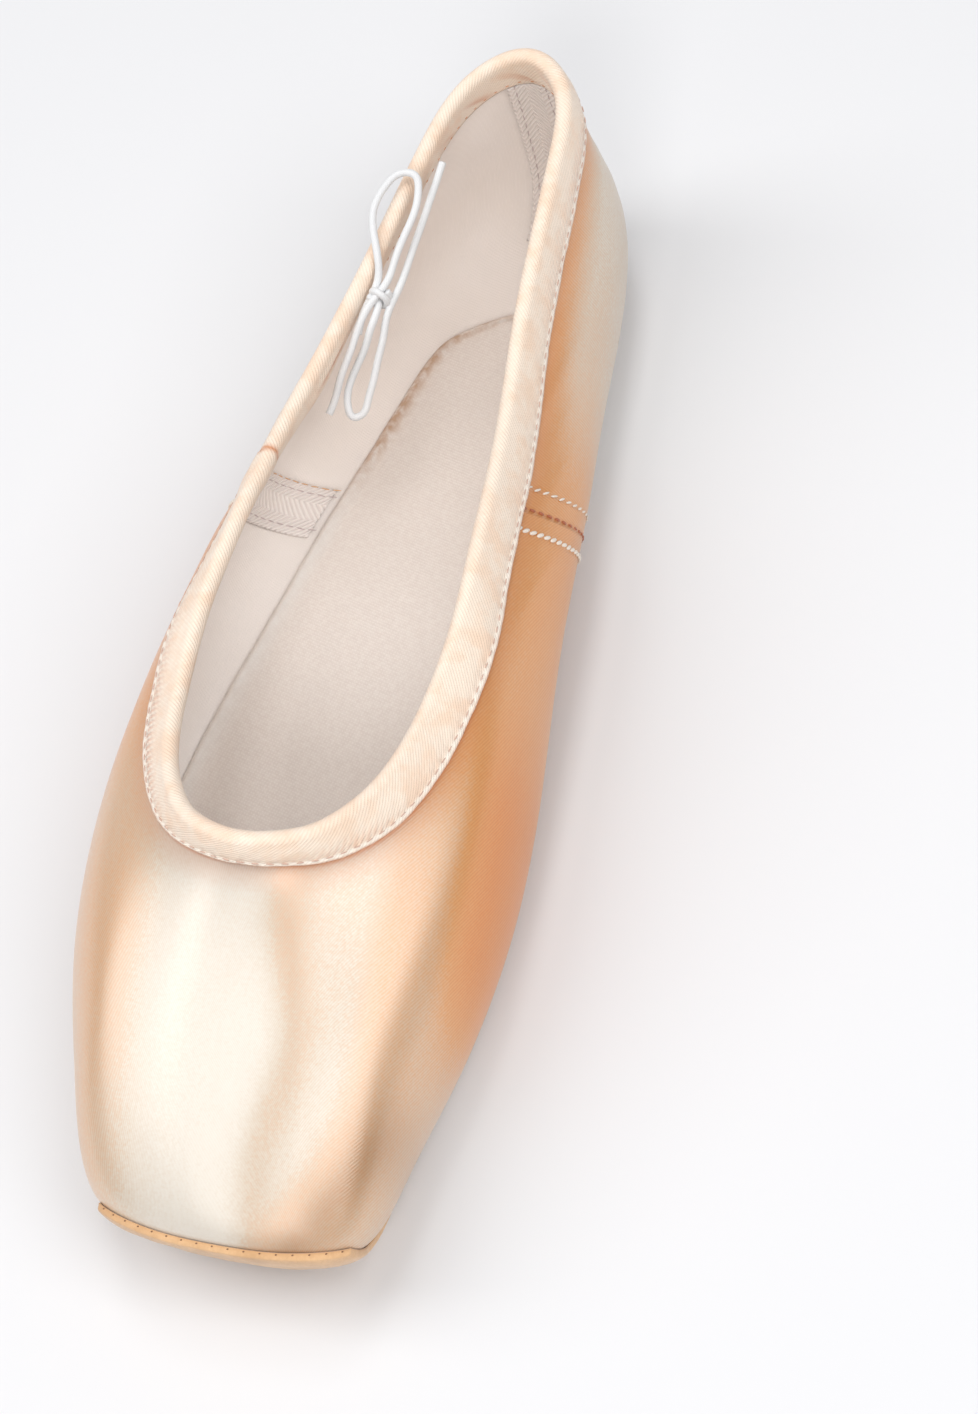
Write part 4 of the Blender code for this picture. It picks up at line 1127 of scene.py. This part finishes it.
def binding_profile(settings):
    """The binding's cross-section as distances down from the collar and heights over the skin, with the
    number of rows outside, and the rows at which the fold and the inner face end."""
    out, turned = 1000.0 * settings.binding_width, 1000.0 * settings.binding_turned_in
    near, far = BINDING_GAP, BINDING_GAP + BINDING_CLOTH
    inner_near, inner_far = -QUARTER_WALL - near, -QUARTER_WALL - far
    middle = (far + inner_far) / 2.0
    round_up = (far - inner_far) / 2.0
    outer_rows, fold_rows, inner_rows = 17, 11, 13
    profile = [(down, far) for down in np.linspace(out, FOLD_START, outer_rows)]
    for angle in np.linspace(0.0, np.pi, fold_rows + 2)[1:-1]:
        over_rim = FOLD_START - (round_up - 0.05) * math.sin(angle)
        profile.append((over_rim, middle + round_up * math.cos(angle)))
    profile += [(down, inner_far) for down in np.linspace(FOLD_START, turned, inner_rows)]
    profile += [(turned, inner_near), (turned / 2, inner_near), (FOLD_START, inner_near), (-0.4, middle)]
    profile += [(FOLD_START, near), (out / 2, near), (out, near)]
    return np.array(profile), outer_rows, outer_rows + fold_rows, outer_rows + fold_rows + inner_rows


def make_binding(settings):
    """The folded binding, pulled in at its stitch lines, with the drawstring slit inside."""
    around = places_round(2 * ROUND_STEPS)
    profile, outer_rows, fold_end, inner_end = binding_profile(settings)
    rim = skin_points(around, np.full(len(around), TOP_LEVEL))
    at_left = rim[:, 0] < 0
    walked = lengths_along(np.concatenate([rim, rim[:1]]))
    along = walked[:-1]
    down = np.repeat(profile[:, :1], len(around), axis=1)
    outwards = np.repeat(profile[:, 1:], len(around), axis=1)
    row_numbers = np.arange(len(around)) / (2.0 * ROUND_STEPS)
    down = down * np.where((down > 0) & (outwards > 0), width_share(row_numbers)[None, :], 1.0)
    # Marks on the binding: brown wear at the heel, the lap's thread line, and painted shade in the drawstring
    # slit
    marks_and_slit_shade = np.zeros(down.shape)
    turned = 1000.0 * settings.binding_turned_in
    stitched = 1000.0 * settings.binding_width - STITCH_INSET
    scallop = 0.5 + 0.5 * np.cos(2.0 * np.pi * along / (1000.0 * settings.stitch_pitch))
    lap = along - along[np.argmin(np.abs(rim[:, 1] - BINDING_JOINT) + 200.0 * (rim[:, 0] > 0))] + BINDING_LAP
    slit = smooth_step(1.2 - np.abs(rim[:, 1] - SLIT_PLACE) / SLIT_REACH) * at_left
    heel = rise(rim[:, 1], 94.0, 12.0)
    for r, depth in enumerate(profile[:inner_end, 0]):
        if r < outer_rows:
            dip = hill(depth, stitched, 0.8) * (0.16 + 0.22 * scallop)
            puff = 0.24 * np.sin(np.pi * np.clip(depth / stitched, 0.0, 1.0)) ** 1.4
            pucker = 0.10 * noise_wave(along / 3.1 + 0.35 * depth, 2)
            puff = puff * (1.0 + 0.2 * noise_wave(along / 13.0, 4))
            outwards[r] += puff - dip + pucker * min(1.0, depth / 4.0)
        if r >= fold_end:
            full = 0.16 * (1.0 + 0.4 * noise_wave(along / 5.0, 6)) + LEAN_PUFF * beside_bow(rim)
            outwards[r] -= full * math.sin(math.pi * depth / turned)
            # The slit: a ridge and a groove, painted dark for the shade inside it and its frayed edge
            line = hill(depth, SLIT_DEPTH, 0.6)
            outwards[r] += slit * (0.15 * line - 0.30 * hill(depth, SLIT_DEPTH - 1.0, 0.5))
            marks_and_slit_shade[r] = slit * line * (0.8 + 0.4 * noise_wave(along / 1.3, 8))
            worn = np.clip(noise_wave(along / 1.9 + 0.9 * depth, 11), 0.0, 1.0)
            marks_and_slit_shade[r] += 0.75 * worn * heel * hill(depth, turned - 2.4, 2.0)
        bent = lap - 0.9 * math.sin(0.5 * (depth + (6.0 if r >= fold_end else 0.0)))
        outwards[r] += (0.28 if r < outer_rows else -0.22) * rise(bent, 0.0, 0.6) * fall(bent, 9.0, 4.0)
        marks_and_slit_shade[r] += 0.95 * hill(bent, 0.0, 0.60)
    outwards[0] -= 0.15
    down[[0, -1]] += 0.09 * noise_wave(along / 2.3, 1)
    points = bend_shoe(collar_points(around, down, outwards)).reshape(-1, 3)
    faces = facing_out(points, ring_faces(*down.shape, True))
    pulled = hill(row_numbers - ROW_COUNT, -4.6, 1.3)
    across = lengths_along(profile)
    uv = np.stack([np.tile(along, len(profile)), np.repeat(across, len(around))], axis=1) / 1000.0
    piece = add_piece(
        "binding_tape", points, faces, [binding_finish(settings)], uv=uv, uv_wrap=walked[-1] / 1000.0,
        attributes={"marks_and_slit_shade": np.clip(marks_and_slit_shade, 0.0, 1.0), "pulled": np.tile(pulled, len(profile))},
    )
    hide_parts("binding")


def make_binding_stitches(settings):
    """Machine stitches near the binding's outer edge, and small marks of the bobbin thread inside."""
    stitched = 1000.0 * settings.binding_width - STITCH_INSET
    inside = 1000.0 * settings.binding_turned_in - BOBBIN_INSET
    pitch = settings.stitch_pitch
    all_round = (0.02, ROW_COUNT - 0.02)
    pale = thread_finish("binding_thread", (0.66, 0.44, 0.35))
    orange = thread_finish("bobbin_thread", (0.62, 0.27, 0.12))
    add_stitches(
        "binding_stitches", [collar_line(*all_round, stitched, 1.12)], pale, settings.stitch_seed, "binding",
        length=settings.stitch_length, width=0.00024, height=0.00026, pitch=pitch,
    )
    add_stitches(
        "bobbin_stitches", [collar_line(*all_round, inside, -QUARTER_WALL - 1.13)], orange,
        settings.stitch_seed + 1, "binding", length=0.0008, width=0.00022, height=0.00024, pitch=pitch,
    )


def make_seams(settings):
    """The side seams: a dark stitched line between two rows of cream twisted stitches."""
    cream = thread_finish("seam_thread", (0.84, 0.76, 0.66), 0.5)
    red = thread_finish("seam_line_thread", (0.42, 0.12, 0.05))
    apart = 1000.0 * settings.seam_row_apart
    for side, name in SIDES:
        levels = np.linspace(1.3, level_down(seam_row(side), 1000.0 * settings.binding_width + 0.2), 60)
        rows = (("toe", -apart, 0.00085, 0.0017), ("heel", apart, 0.00050, 0.0021))
        for part, offset, thick, pitch in rows:
            add_stitches(
                "seam_row_" + part + "_" + name, [skin_line(side, levels, offset, 0.16)], cream,
                settings.stitch_seed + 2, "satin",
                length=0.0021, width=thick, height=0.8 * thick, pitch=pitch, slant=0.42 * side,
            )
        add_stitches(
            "seam_line_" + name, [skin_line(side, levels, 0.0, 0.10)], red, settings.stitch_seed + 3, "satin",
            length=0.0015, width=0.00062, height=0.00040, pitch=0.0021,
        )


def add_plate(name, rings, top_height, bottom_height, material, across=40):
    """A closed plate from unbent rings that run from its top outline to its bottom outline, filled across,
    with an edge attribute that falls away from its outline."""
    count = len(rings[0])
    half = count // 2
    number = len(rings) * count
    points, faces = [np.concatenate(rings)], [ring_faces(len(rings), count, False)]
    near = [np.ones(number)]
    shares = np.linspace(0.0, 1.0, across + 2)[1:-1]
    for start, ring, height, flip in (
        (0, rings[0], top_height, False), (number - count, rings[-1], bottom_height, True)
    ):
        right, left = ring[1:half], ring[:half:-1]
        grid = right[:, None] + (left - right)[:, None] * shares[None, :, None]
        wide = np.linalg.norm((left - right)[:, :2], axis=1)[:, None]
        ends = np.minimum(np.abs(grid[..., 1] - ring[0, 1]), np.abs(grid[..., 1] - ring[half, 1]))
        inward = np.minimum(np.minimum(shares, 1.0 - shares)[None, :] * wide, ends)
        grid[..., 2] = height(inward)
        points.append(grid.reshape(-1, 3))
        near.append(np.exp(-inward / 0.8).ravel())
        inside = np.arange(inward.size).reshape(inward.shape) + number
        number += inside.size
        one_side = np.arange(1, half)[:, None]
        rows = np.concatenate([start + one_side, inside, start + count - one_side], axis=1)
        front, back = np.full(across + 1, start), np.full(across + 1, start + half)
        tip = np.stack([front, rows[0, 1:], rows[0, :-1], rows[0, :-1]], axis=-1)
        tail = np.stack([back, rows[-1, :-1], rows[-1, 1:], rows[-1, 1:]], axis=-1)
        cap = np.concatenate([grid_quads(rows), tip, tail])
        faces.append(cap[:, ::-1] if flip else cap)
    points = bend_shoe(np.concatenate(points))
    faces = facing_out(points, np.concatenate(faces))
    return add_piece(name, points, faces, [material], attributes={"edge": np.concatenate(near)})


def inset(ring, distance):
    """A ring moved inwards in plan."""
    ahead = np.roll(ring, -1, 0) - np.roll(ring, 1, 0)
    moved = ring.copy()
    moved[:, :2] += unit(np.stack([-ahead[:, 1], ahead[:, 0]], axis=1)) * distance
    return moved


def at_height(ring, height):
    """A ring with its points at one height, or each at its own."""
    ring = np.array(ring)
    ring[:, 2] = height
    return ring


def make_outsole(settings):
    """The suede outsole with its rolled rust edge and pressed channel."""
    outline = skin_points(places_round(SOLE_STEPS), sole_levels(OUTSOLE_SHARE, SOLE_STEPS))
    edge = ((0.25, OUTSOLE_THICKNESS), (0.0, OUTSOLE_THICKNESS - 0.3), (0.0, 0.45), (0.12, 0.15), (0.45, 0.0))
    rings = [at_height(inset(outline, inward), height) for inward, height in edge]

    def over(inward):
        """The flat top."""
        return np.full_like(inward, OUTSOLE_THICKNESS)

    def under(inward):
        """The underside with its channel."""
        return 0.18 * hill(inward, 2.6, 0.5)

    material = suede_finish("outsole_suede_nap", tuple(settings.outsole_colour), 130.0, (0.26, 0.08, 0.03))
    piece = add_plate("suede_outsole", rings, over, under, material)
    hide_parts("outsole")


def make_insole(settings):
    """The canvas insole, its edge a little rolled, standing on the core that fills the opening."""
    around = places_round(SOLE_STEPS)
    outline = skin_points(around, sole_levels(INSOLE_SHARE, SOLE_STEPS))
    core_bottom = OUTSOLE_THICKNESS + INSOLE_GAP
    lowest = SKIN_BOTTOM + SOLE_WALL + INSOLE_GAP
    edge = np.maximum(outline[:, 2] + SOLE_WALL + INSOLE_GAP + 0.4, lowest)
    walked = lengths_along(np.concatenate([outline, outline[:1]]))[:-1]
    outline = inset(outline, 0.05)
    wander = 0.08 * noise_wave(walked / 2.1, 9)
    outline[:, :2] += (inset(outline, 1.0) - outline)[:, :2] * wander[:, None]
    thick = INSOLE_THICKNESS
    rolled = ((1.3, thick), (0.4, 0.78 * thick), (-0.4, 0.45 * thick), (-0.3, 0.1))
    rings = [at_height(inset(outline, inward), edge + height) for inward, height in rolled]
    core = inset(skin_points(around, np.zeros(len(around))), 0.9)
    rings += [at_height(core, lowest + 0.02), at_height(core, core_bottom)]

    def over(inward):
        """The top, crowned a little towards the middle."""
        return lowest + thick - INSOLE_CROWN * (1.0 - rise(inward, 0.0, 12.0))

    def under(inward):
        """The flat underside."""
        return np.full_like(inward, core_bottom)

    piece = add_plate("canvas_insole", rings, over, under, insole_finish(settings))
    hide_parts("insole")


def add_tape(name, around, levels, width, material, node):
    """A woven tape inside the upper as a closed thin slab with its own uv."""
    points, normals = skin_points(around, levels), skin_normals(around, levels)
    near = -wall_at(points, levels) - TAPE_GAP
    rows, columns = around.shape
    edge = np.minimum(np.arange(columns), np.arange(columns)[::-1])
    thin = TAPE_THICKNESS - 0.25 * (edge == 0)
    ripple = 0.08 * noise_wave(np.arange(rows)[:, None] / 5.0 + np.arange(columns)[None, :] / 7.0, 3)
    outer = points + normals * near[..., None]
    inner = points + normals * (near - thin[None, :] + ripple * (edge > 0))[..., None]
    walked = lengths_along(points[:, columns // 2])
    pair = np.stack(np.meshgrid(np.linspace(0.0, width, columns), walked / 1000.0), axis=-1).reshape(-1, 2)
    flat, faces = sheet_solid(bend_shoe(outer), bend_shoe(inner))
    piece = add_piece(name, flat, facing_out(flat, faces), [material], uv=np.concatenate([pair, pair]))
    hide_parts(node)


def make_tapes(settings):
    """The herringbone tapes over the side seams and the heel seam, with their sewn edges."""
    material = tape_finish(settings)
    mauve = thread_finish("tape_thread", (0.60, 0.49, 0.49))
    orange = thread_finish("tape_edge_thread", (0.78, 0.46, 0.24))
    hidden = 1000.0 * settings.binding_turned_in + 0.5
    width = 1000.0 * settings.seam_tape_width
    thread = {"length": 0.0019, "width": 0.00024, "height": 0.00022}
    for side, name in SIDES:
        levels = np.linspace(1.12, level_down(seam_row(side), hidden), 64)
        offsets = np.linspace(-0.5, 0.5, 22) * width
        around = np.array([seam_places(side, levels, TAPE_AT_RIM, offset) for offset in offsets]).T
        add_tape("woven_tape_" + name, around, np.repeat(levels[:, None], len(offsets), axis=1),
                 settings.seam_tape_width, material, "seam_tape_" + name)
        rows = (("edge", 0.47, orange), ("row", 0.33, mauve), ("front_row", -0.36, mauve))
        for part, share, colour in rows:
            line = lining_line(seam_places(side, levels, TAPE_AT_RIM, share * width), levels)
            add_stitches(
                "tape_" + part + "_" + name, [line], colour, settings.stitch_seed + 5, "tape",
                pitch=0.0023, **thread,
            )
    half = ROW_COUNT / 2.0
    columns = round_at(np.linspace(half - 2.0 / 3.0, half + 2.0 / 3.0, 22))
    top = collar_levels(columns, np.full((1, len(columns)), hidden))[0]
    levels = HEEL_TAPE_FOOT + (top[None, :] - HEEL_TAPE_FOOT) * np.linspace(0.0, 1.0, 72)[:, None]
    wide = np.abs(skin_points(np.full(len(levels), columns[0]), levels[:, 0])[:, 0])
    slim = np.minimum(1.0, 500.0 * HEEL_TAPE_WIDTH / wide) * (0.74 + 0.10 * rise(levels[:, 0], 1.6, 2.6))
    around = columns.mean() + (columns[None, :] - columns.mean()) * slim[:, None]
    add_tape("woven_tape_heel", around, levels, HEEL_TAPE_WIDTH, material, "heel_tape")
    for part, column in (("left", 3), ("right", -4)):
        line = lining_line(around[14:, column], levels[14:, column])
        add_stitches(
            "heel_tape_row_" + part, [line], mauve, settings.stitch_seed + 6, "tape", pitch=0.0025, **thread
        )


def make_toe_patch(settings):
    """The suede patch over the platform, its edge cut and whip-stitched to the satin."""
    columns = np.linspace(-1.0, 1.0, 181)
    shares = np.linspace(0.0, 1.0, 121)
    around, levels = patch_places(shares, columns)
    points, normals = skin_points(around, levels), skin_normals(around, levels)
    from_ends = 70.0 * np.minimum(shares, 1.0 - shares)[:, None]
    rim = np.minimum(from_ends, 42.0 * (1.0 - np.abs(columns))[None, :])
    thick = 0.9 - 0.65 * hill(rim, 0.0, 0.9)
    lumps = 0.05 * noise_wave(points[..., 0] / 2.2 + points[..., 2] / 3.1, 4) * smooth_step(rim / 2.0)
    stand = 0.40 - 0.28 * hill(rim, 0.0, 1.2)
    near = points + normals * stand[..., None]
    far = points + normals * (stand + thick + lumps)[..., None]
    flat, faces = sheet_solid(bend_shoe(far), bend_shoe(near))
    edge = np.concatenate([np.exp(-rim / 0.5).ravel(), np.ones(rim.size)]) * 0.55
    material = suede_finish("toe_suede_nap", tuple(settings.suede_colour), 160.0, (0.58, 0.32, 0.14))
    piece = add_piece("suede_toe_patch", flat, facing_out(flat, faces), [material], attributes={"edge": edge})
    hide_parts("toe_suede")
    dark = thread_finish("patch_thread", (0.24, 0.11, 0.05))
    low = slice(0, 60)
    lines = [
        (points[rows, cols] + normals[rows, cols] * 0.52, normals[rows, cols])
        for rows, cols in ((-2, slice(6, -6)), (low, 1), (low, -2))
    ]
    add_stitches(
        "patch_stitches", lines, dark, settings.stitch_seed + 8, "toe_suede",
        length=0.0007, width=0.00036, height=0.00030, pitch=0.0028, slant=0.9,
    )


def smooth_route(route, spacing):
    """A smooth line through a route's points, evenly spaced."""
    route = np.array(route, float)
    knots = lengths_along(route)
    line = curve_through(knots, route, np.linspace(0.0, knots[-1], 1200))
    walked = lengths_along(line)
    count = int(walked[-1] / spacing) + 1
    even = np.linspace(0.0, walked[-1], count)
    return np.stack([np.interp(even, walked, line[:, k]) for k in range(3)], axis=1)


def make_drawstring(settings):
    """The drawstring's bow: two cords that loop and end past a small knot inside the collar."""
    material = cord_finish(settings)
    radius = 500.0 * settings.cord_diameter
    axis = unit(np.array(KNOT_AXIS))
    side = unit(np.cross(axis, [0.0, 0.0, 1.0]))
    upright = np.cross(side, axis)
    turn = np.linspace(0.0, 1.0, 120)
    angle = 2.0 * np.pi * (KNOT_TURNS * turn) + 2.2
    wrap = (
        KNOT_CENTRE + KNOT_REACH * (np.cos(angle)[:, None] * side + np.sin(angle)[:, None] * upright)
        + axis * ((turn - 0.5) * KNOT_LENGTH + 0.5 * np.sin(angle))[:, None]
    )
    knot = add_tube("drawstring_wrap", wrap, radius * 0.93, material)
    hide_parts("drawstring_knot")
    for name, route, nodes in (
        ("drawstring_upper", UPPER_CORD_ROUTE, ("drawstring_loop_upper", "drawstring_end_lower")),
        ("drawstring_lower", LOWER_CORD_ROUTE, ("drawstring_loop_lower", "drawstring_end_upper")),
    ):
        line = smooth_route(route, 0.3)
        cord = add_tube(name, line, radius, material)
        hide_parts(*nodes)


def add_light(name, place, target, width, height, power):
    """A soft rectangular light aimed at a target."""
    light = bpy.data.lights.new(name, "AREA")
    light.shape = "RECTANGLE"
    light.size, light.size_y = width, height
    light.energy = power
    lamp = bpy.data.objects.new(name, light)
    lamp.location = place
    lamp.rotation_euler = (Vector(target) - Vector(place)).to_track_quat("-Z", "Y").to_euler()
    bpy.context.scene.collection.objects.link(lamp)


def make_camera():
    """The camera at the photograph's place and angle."""
    camera = bpy.data.cameras.new("camera")
    camera.lens = CAMERA_LENS
    camera.sensor_width = 36.0
    camera.clip_start, camera.clip_end = 0.01, 20.0
    eye = bpy.data.objects.new("camera", camera)
    place, target = np.array(CAMERA_PLACE), np.array(CAMERA_TARGET)
    forward = unit(target - place)
    right = unit(np.cross(forward, [0.0, 0.0, 1.0]))
    up = np.cross(right, forward)
    cosine, sine = math.cos(CAMERA_ROLL), math.sin(CAMERA_ROLL)
    columns = np.stack([cosine * right + sine * up, cosine * up - sine * right, -forward], axis=1)
    matrix = Matrix(columns.tolist()).to_4x4()
    matrix.translation = place.tolist()
    eye.matrix_world = matrix
    bpy.context.scene.collection.objects.link(eye)
    bpy.context.scene.camera = eye


def make_stage():
    """A plain pale floor, soft studio lights and a pale surrounding."""
    floor = bpy.data.meshes.new("floor")
    square = ((-1, -1), (1, -1), (1, 1), (-1, 1))
    corners = [(x * FLOOR_REACH, y * FLOOR_REACH, FLOOR_HEIGHT) for x, y in square]
    floor.from_pydata(corners, [], [(0, 1, 2, 3)])
    floor.materials.append(Finish("floor_paint", 0.9, Base_Color=(0.76, 0.76, 0.77, 1.0)).material)
    ground = bpy.data.objects.new("floor", floor)
    bpy.context.scene.collection.objects.link(ground)
    world = bpy.data.worlds.new("studio")
    world.use_nodes = True
    back = world.node_tree.nodes["Background"]
    back.inputs["Color"].default_value = (0.96, 0.97, 1.0, 1.0)
    back.inputs["Strength"].default_value = 0.34
    bpy.context.scene.world = world
    for light in LIGHTS:
        add_light(*light)
    bpy.context.scene.view_settings.view_transform = "Standard"


class POINTE_OT_stage(Operator):
    """Make the floor, the studio lights and the camera"""

    bl_idname = "pointe.stage"
    bl_label = "Stage and Camera"

    def execute(self, context):
        make_camera()
        make_stage()
        return {"FINISHED"}


class POINTE_OT_drawstring(Operator):
    """Tie the drawstring's bow inside the collar"""

    bl_idname = "pointe.drawstring"
    bl_label = "Drawstring"

    def execute(self, context):
        make_drawstring(context.scene.pointe_shoe)
        return {"FINISHED"}


class POINTE_OT_upper(Operator):
    """Make the satin upper with its lining"""

    bl_idname = "pointe.upper"
    bl_label = "Satin Upper"

    def execute(self, context):
        make_upper(context.scene.pointe_shoe)
        return {"FINISHED"}


class POINTE_OT_binding(Operator):
    """Fold the binding over the collar and sew it on"""

    bl_idname = "pointe.binding"
    bl_label = "Binding and Stitches"

    def execute(self, context):
        make_binding(context.scene.pointe_shoe)
        make_binding_stitches(context.scene.pointe_shoe)
        return {"FINISHED"}


class POINTE_OT_seams(Operator):
    """Sew the side seams and their stitch rows"""

    bl_idname = "pointe.seams"
    bl_label = "Side Seams"

    def execute(self, context):
        make_seams(context.scene.pointe_shoe)
        return {"FINISHED"}


class POINTE_OT_soles(Operator):
    """Make the suede outsole and the canvas insole"""

    bl_idname = "pointe.soles"
    bl_label = "Outsole and Insole"

    def execute(self, context):
        make_outsole(context.scene.pointe_shoe)
        make_insole(context.scene.pointe_shoe)
        return {"FINISHED"}


class POINTE_OT_tapes(Operator):
    """Sew the herringbone tapes inside"""

    bl_idname = "pointe.tapes"
    bl_label = "Inside Tapes"

    def execute(self, context):
        make_tapes(context.scene.pointe_shoe)
        return {"FINISHED"}


class POINTE_OT_toe_patch(Operator):
    """Sew the suede patch over the toe platform"""

    bl_idname = "pointe.toe_patch"
    bl_label = "Suede Toe Patch"

    def execute(self, context):
        make_toe_patch(context.scene.pointe_shoe)
        return {"FINISHED"}


OPERATORS = (
    POINTE_OT_stage,
    POINTE_OT_drawstring,
    POINTE_OT_upper,
    POINTE_OT_binding,
    POINTE_OT_seams,
    POINTE_OT_soles,
    POINTE_OT_tapes,
    POINTE_OT_toe_patch,
)


class POINTE_PT_panel(Panel):
    """Lists the shoe's pieces and sizes in the sidebar"""

    bl_idname = "POINTE_PT_panel"
    bl_label = "Pointe Shoe"
    bl_space_type = "VIEW_3D"
    bl_region_type = "UI"
    bl_category = "Pointe Shoe"

    def draw(self, context):
        settings = context.scene.pointe_shoe
        for key in settings.bl_rna.properties.keys():
            if key not in ("rna_type", "name"):
                self.layout.prop(settings, key)
        for operator in OPERATORS:
            self.layout.operator(operator.bl_idname)


CLASSES = (PointeShoeSettings, *OPERATORS, POINTE_PT_panel)


def register():
    """Register the classes and the scene's settings."""
    for cls in CLASSES:
        bpy.utils.register_class(cls)
    bpy.types.Scene.pointe_shoe = PointerProperty(type=PointeShoeSettings)


def unregister():
    """Take the settings and classes away again."""
    del bpy.types.Scene.pointe_shoe
    for cls in reversed(CLASSES):
        bpy.utils.unregister_class(cls)


def main():
    """Build every piece round the frame."""
    register()
    bpy.ops.pointe.stage()
    bpy.ops.pointe.drawstring()
    bpy.ops.pointe.upper()
    bpy.ops.pointe.binding()
    bpy.ops.pointe.seams()
    bpy.ops.pointe.soles()
    bpy.ops.pointe.tapes()
    bpy.ops.pointe.toe_patch()


if __name__ == "__main__":
    main()
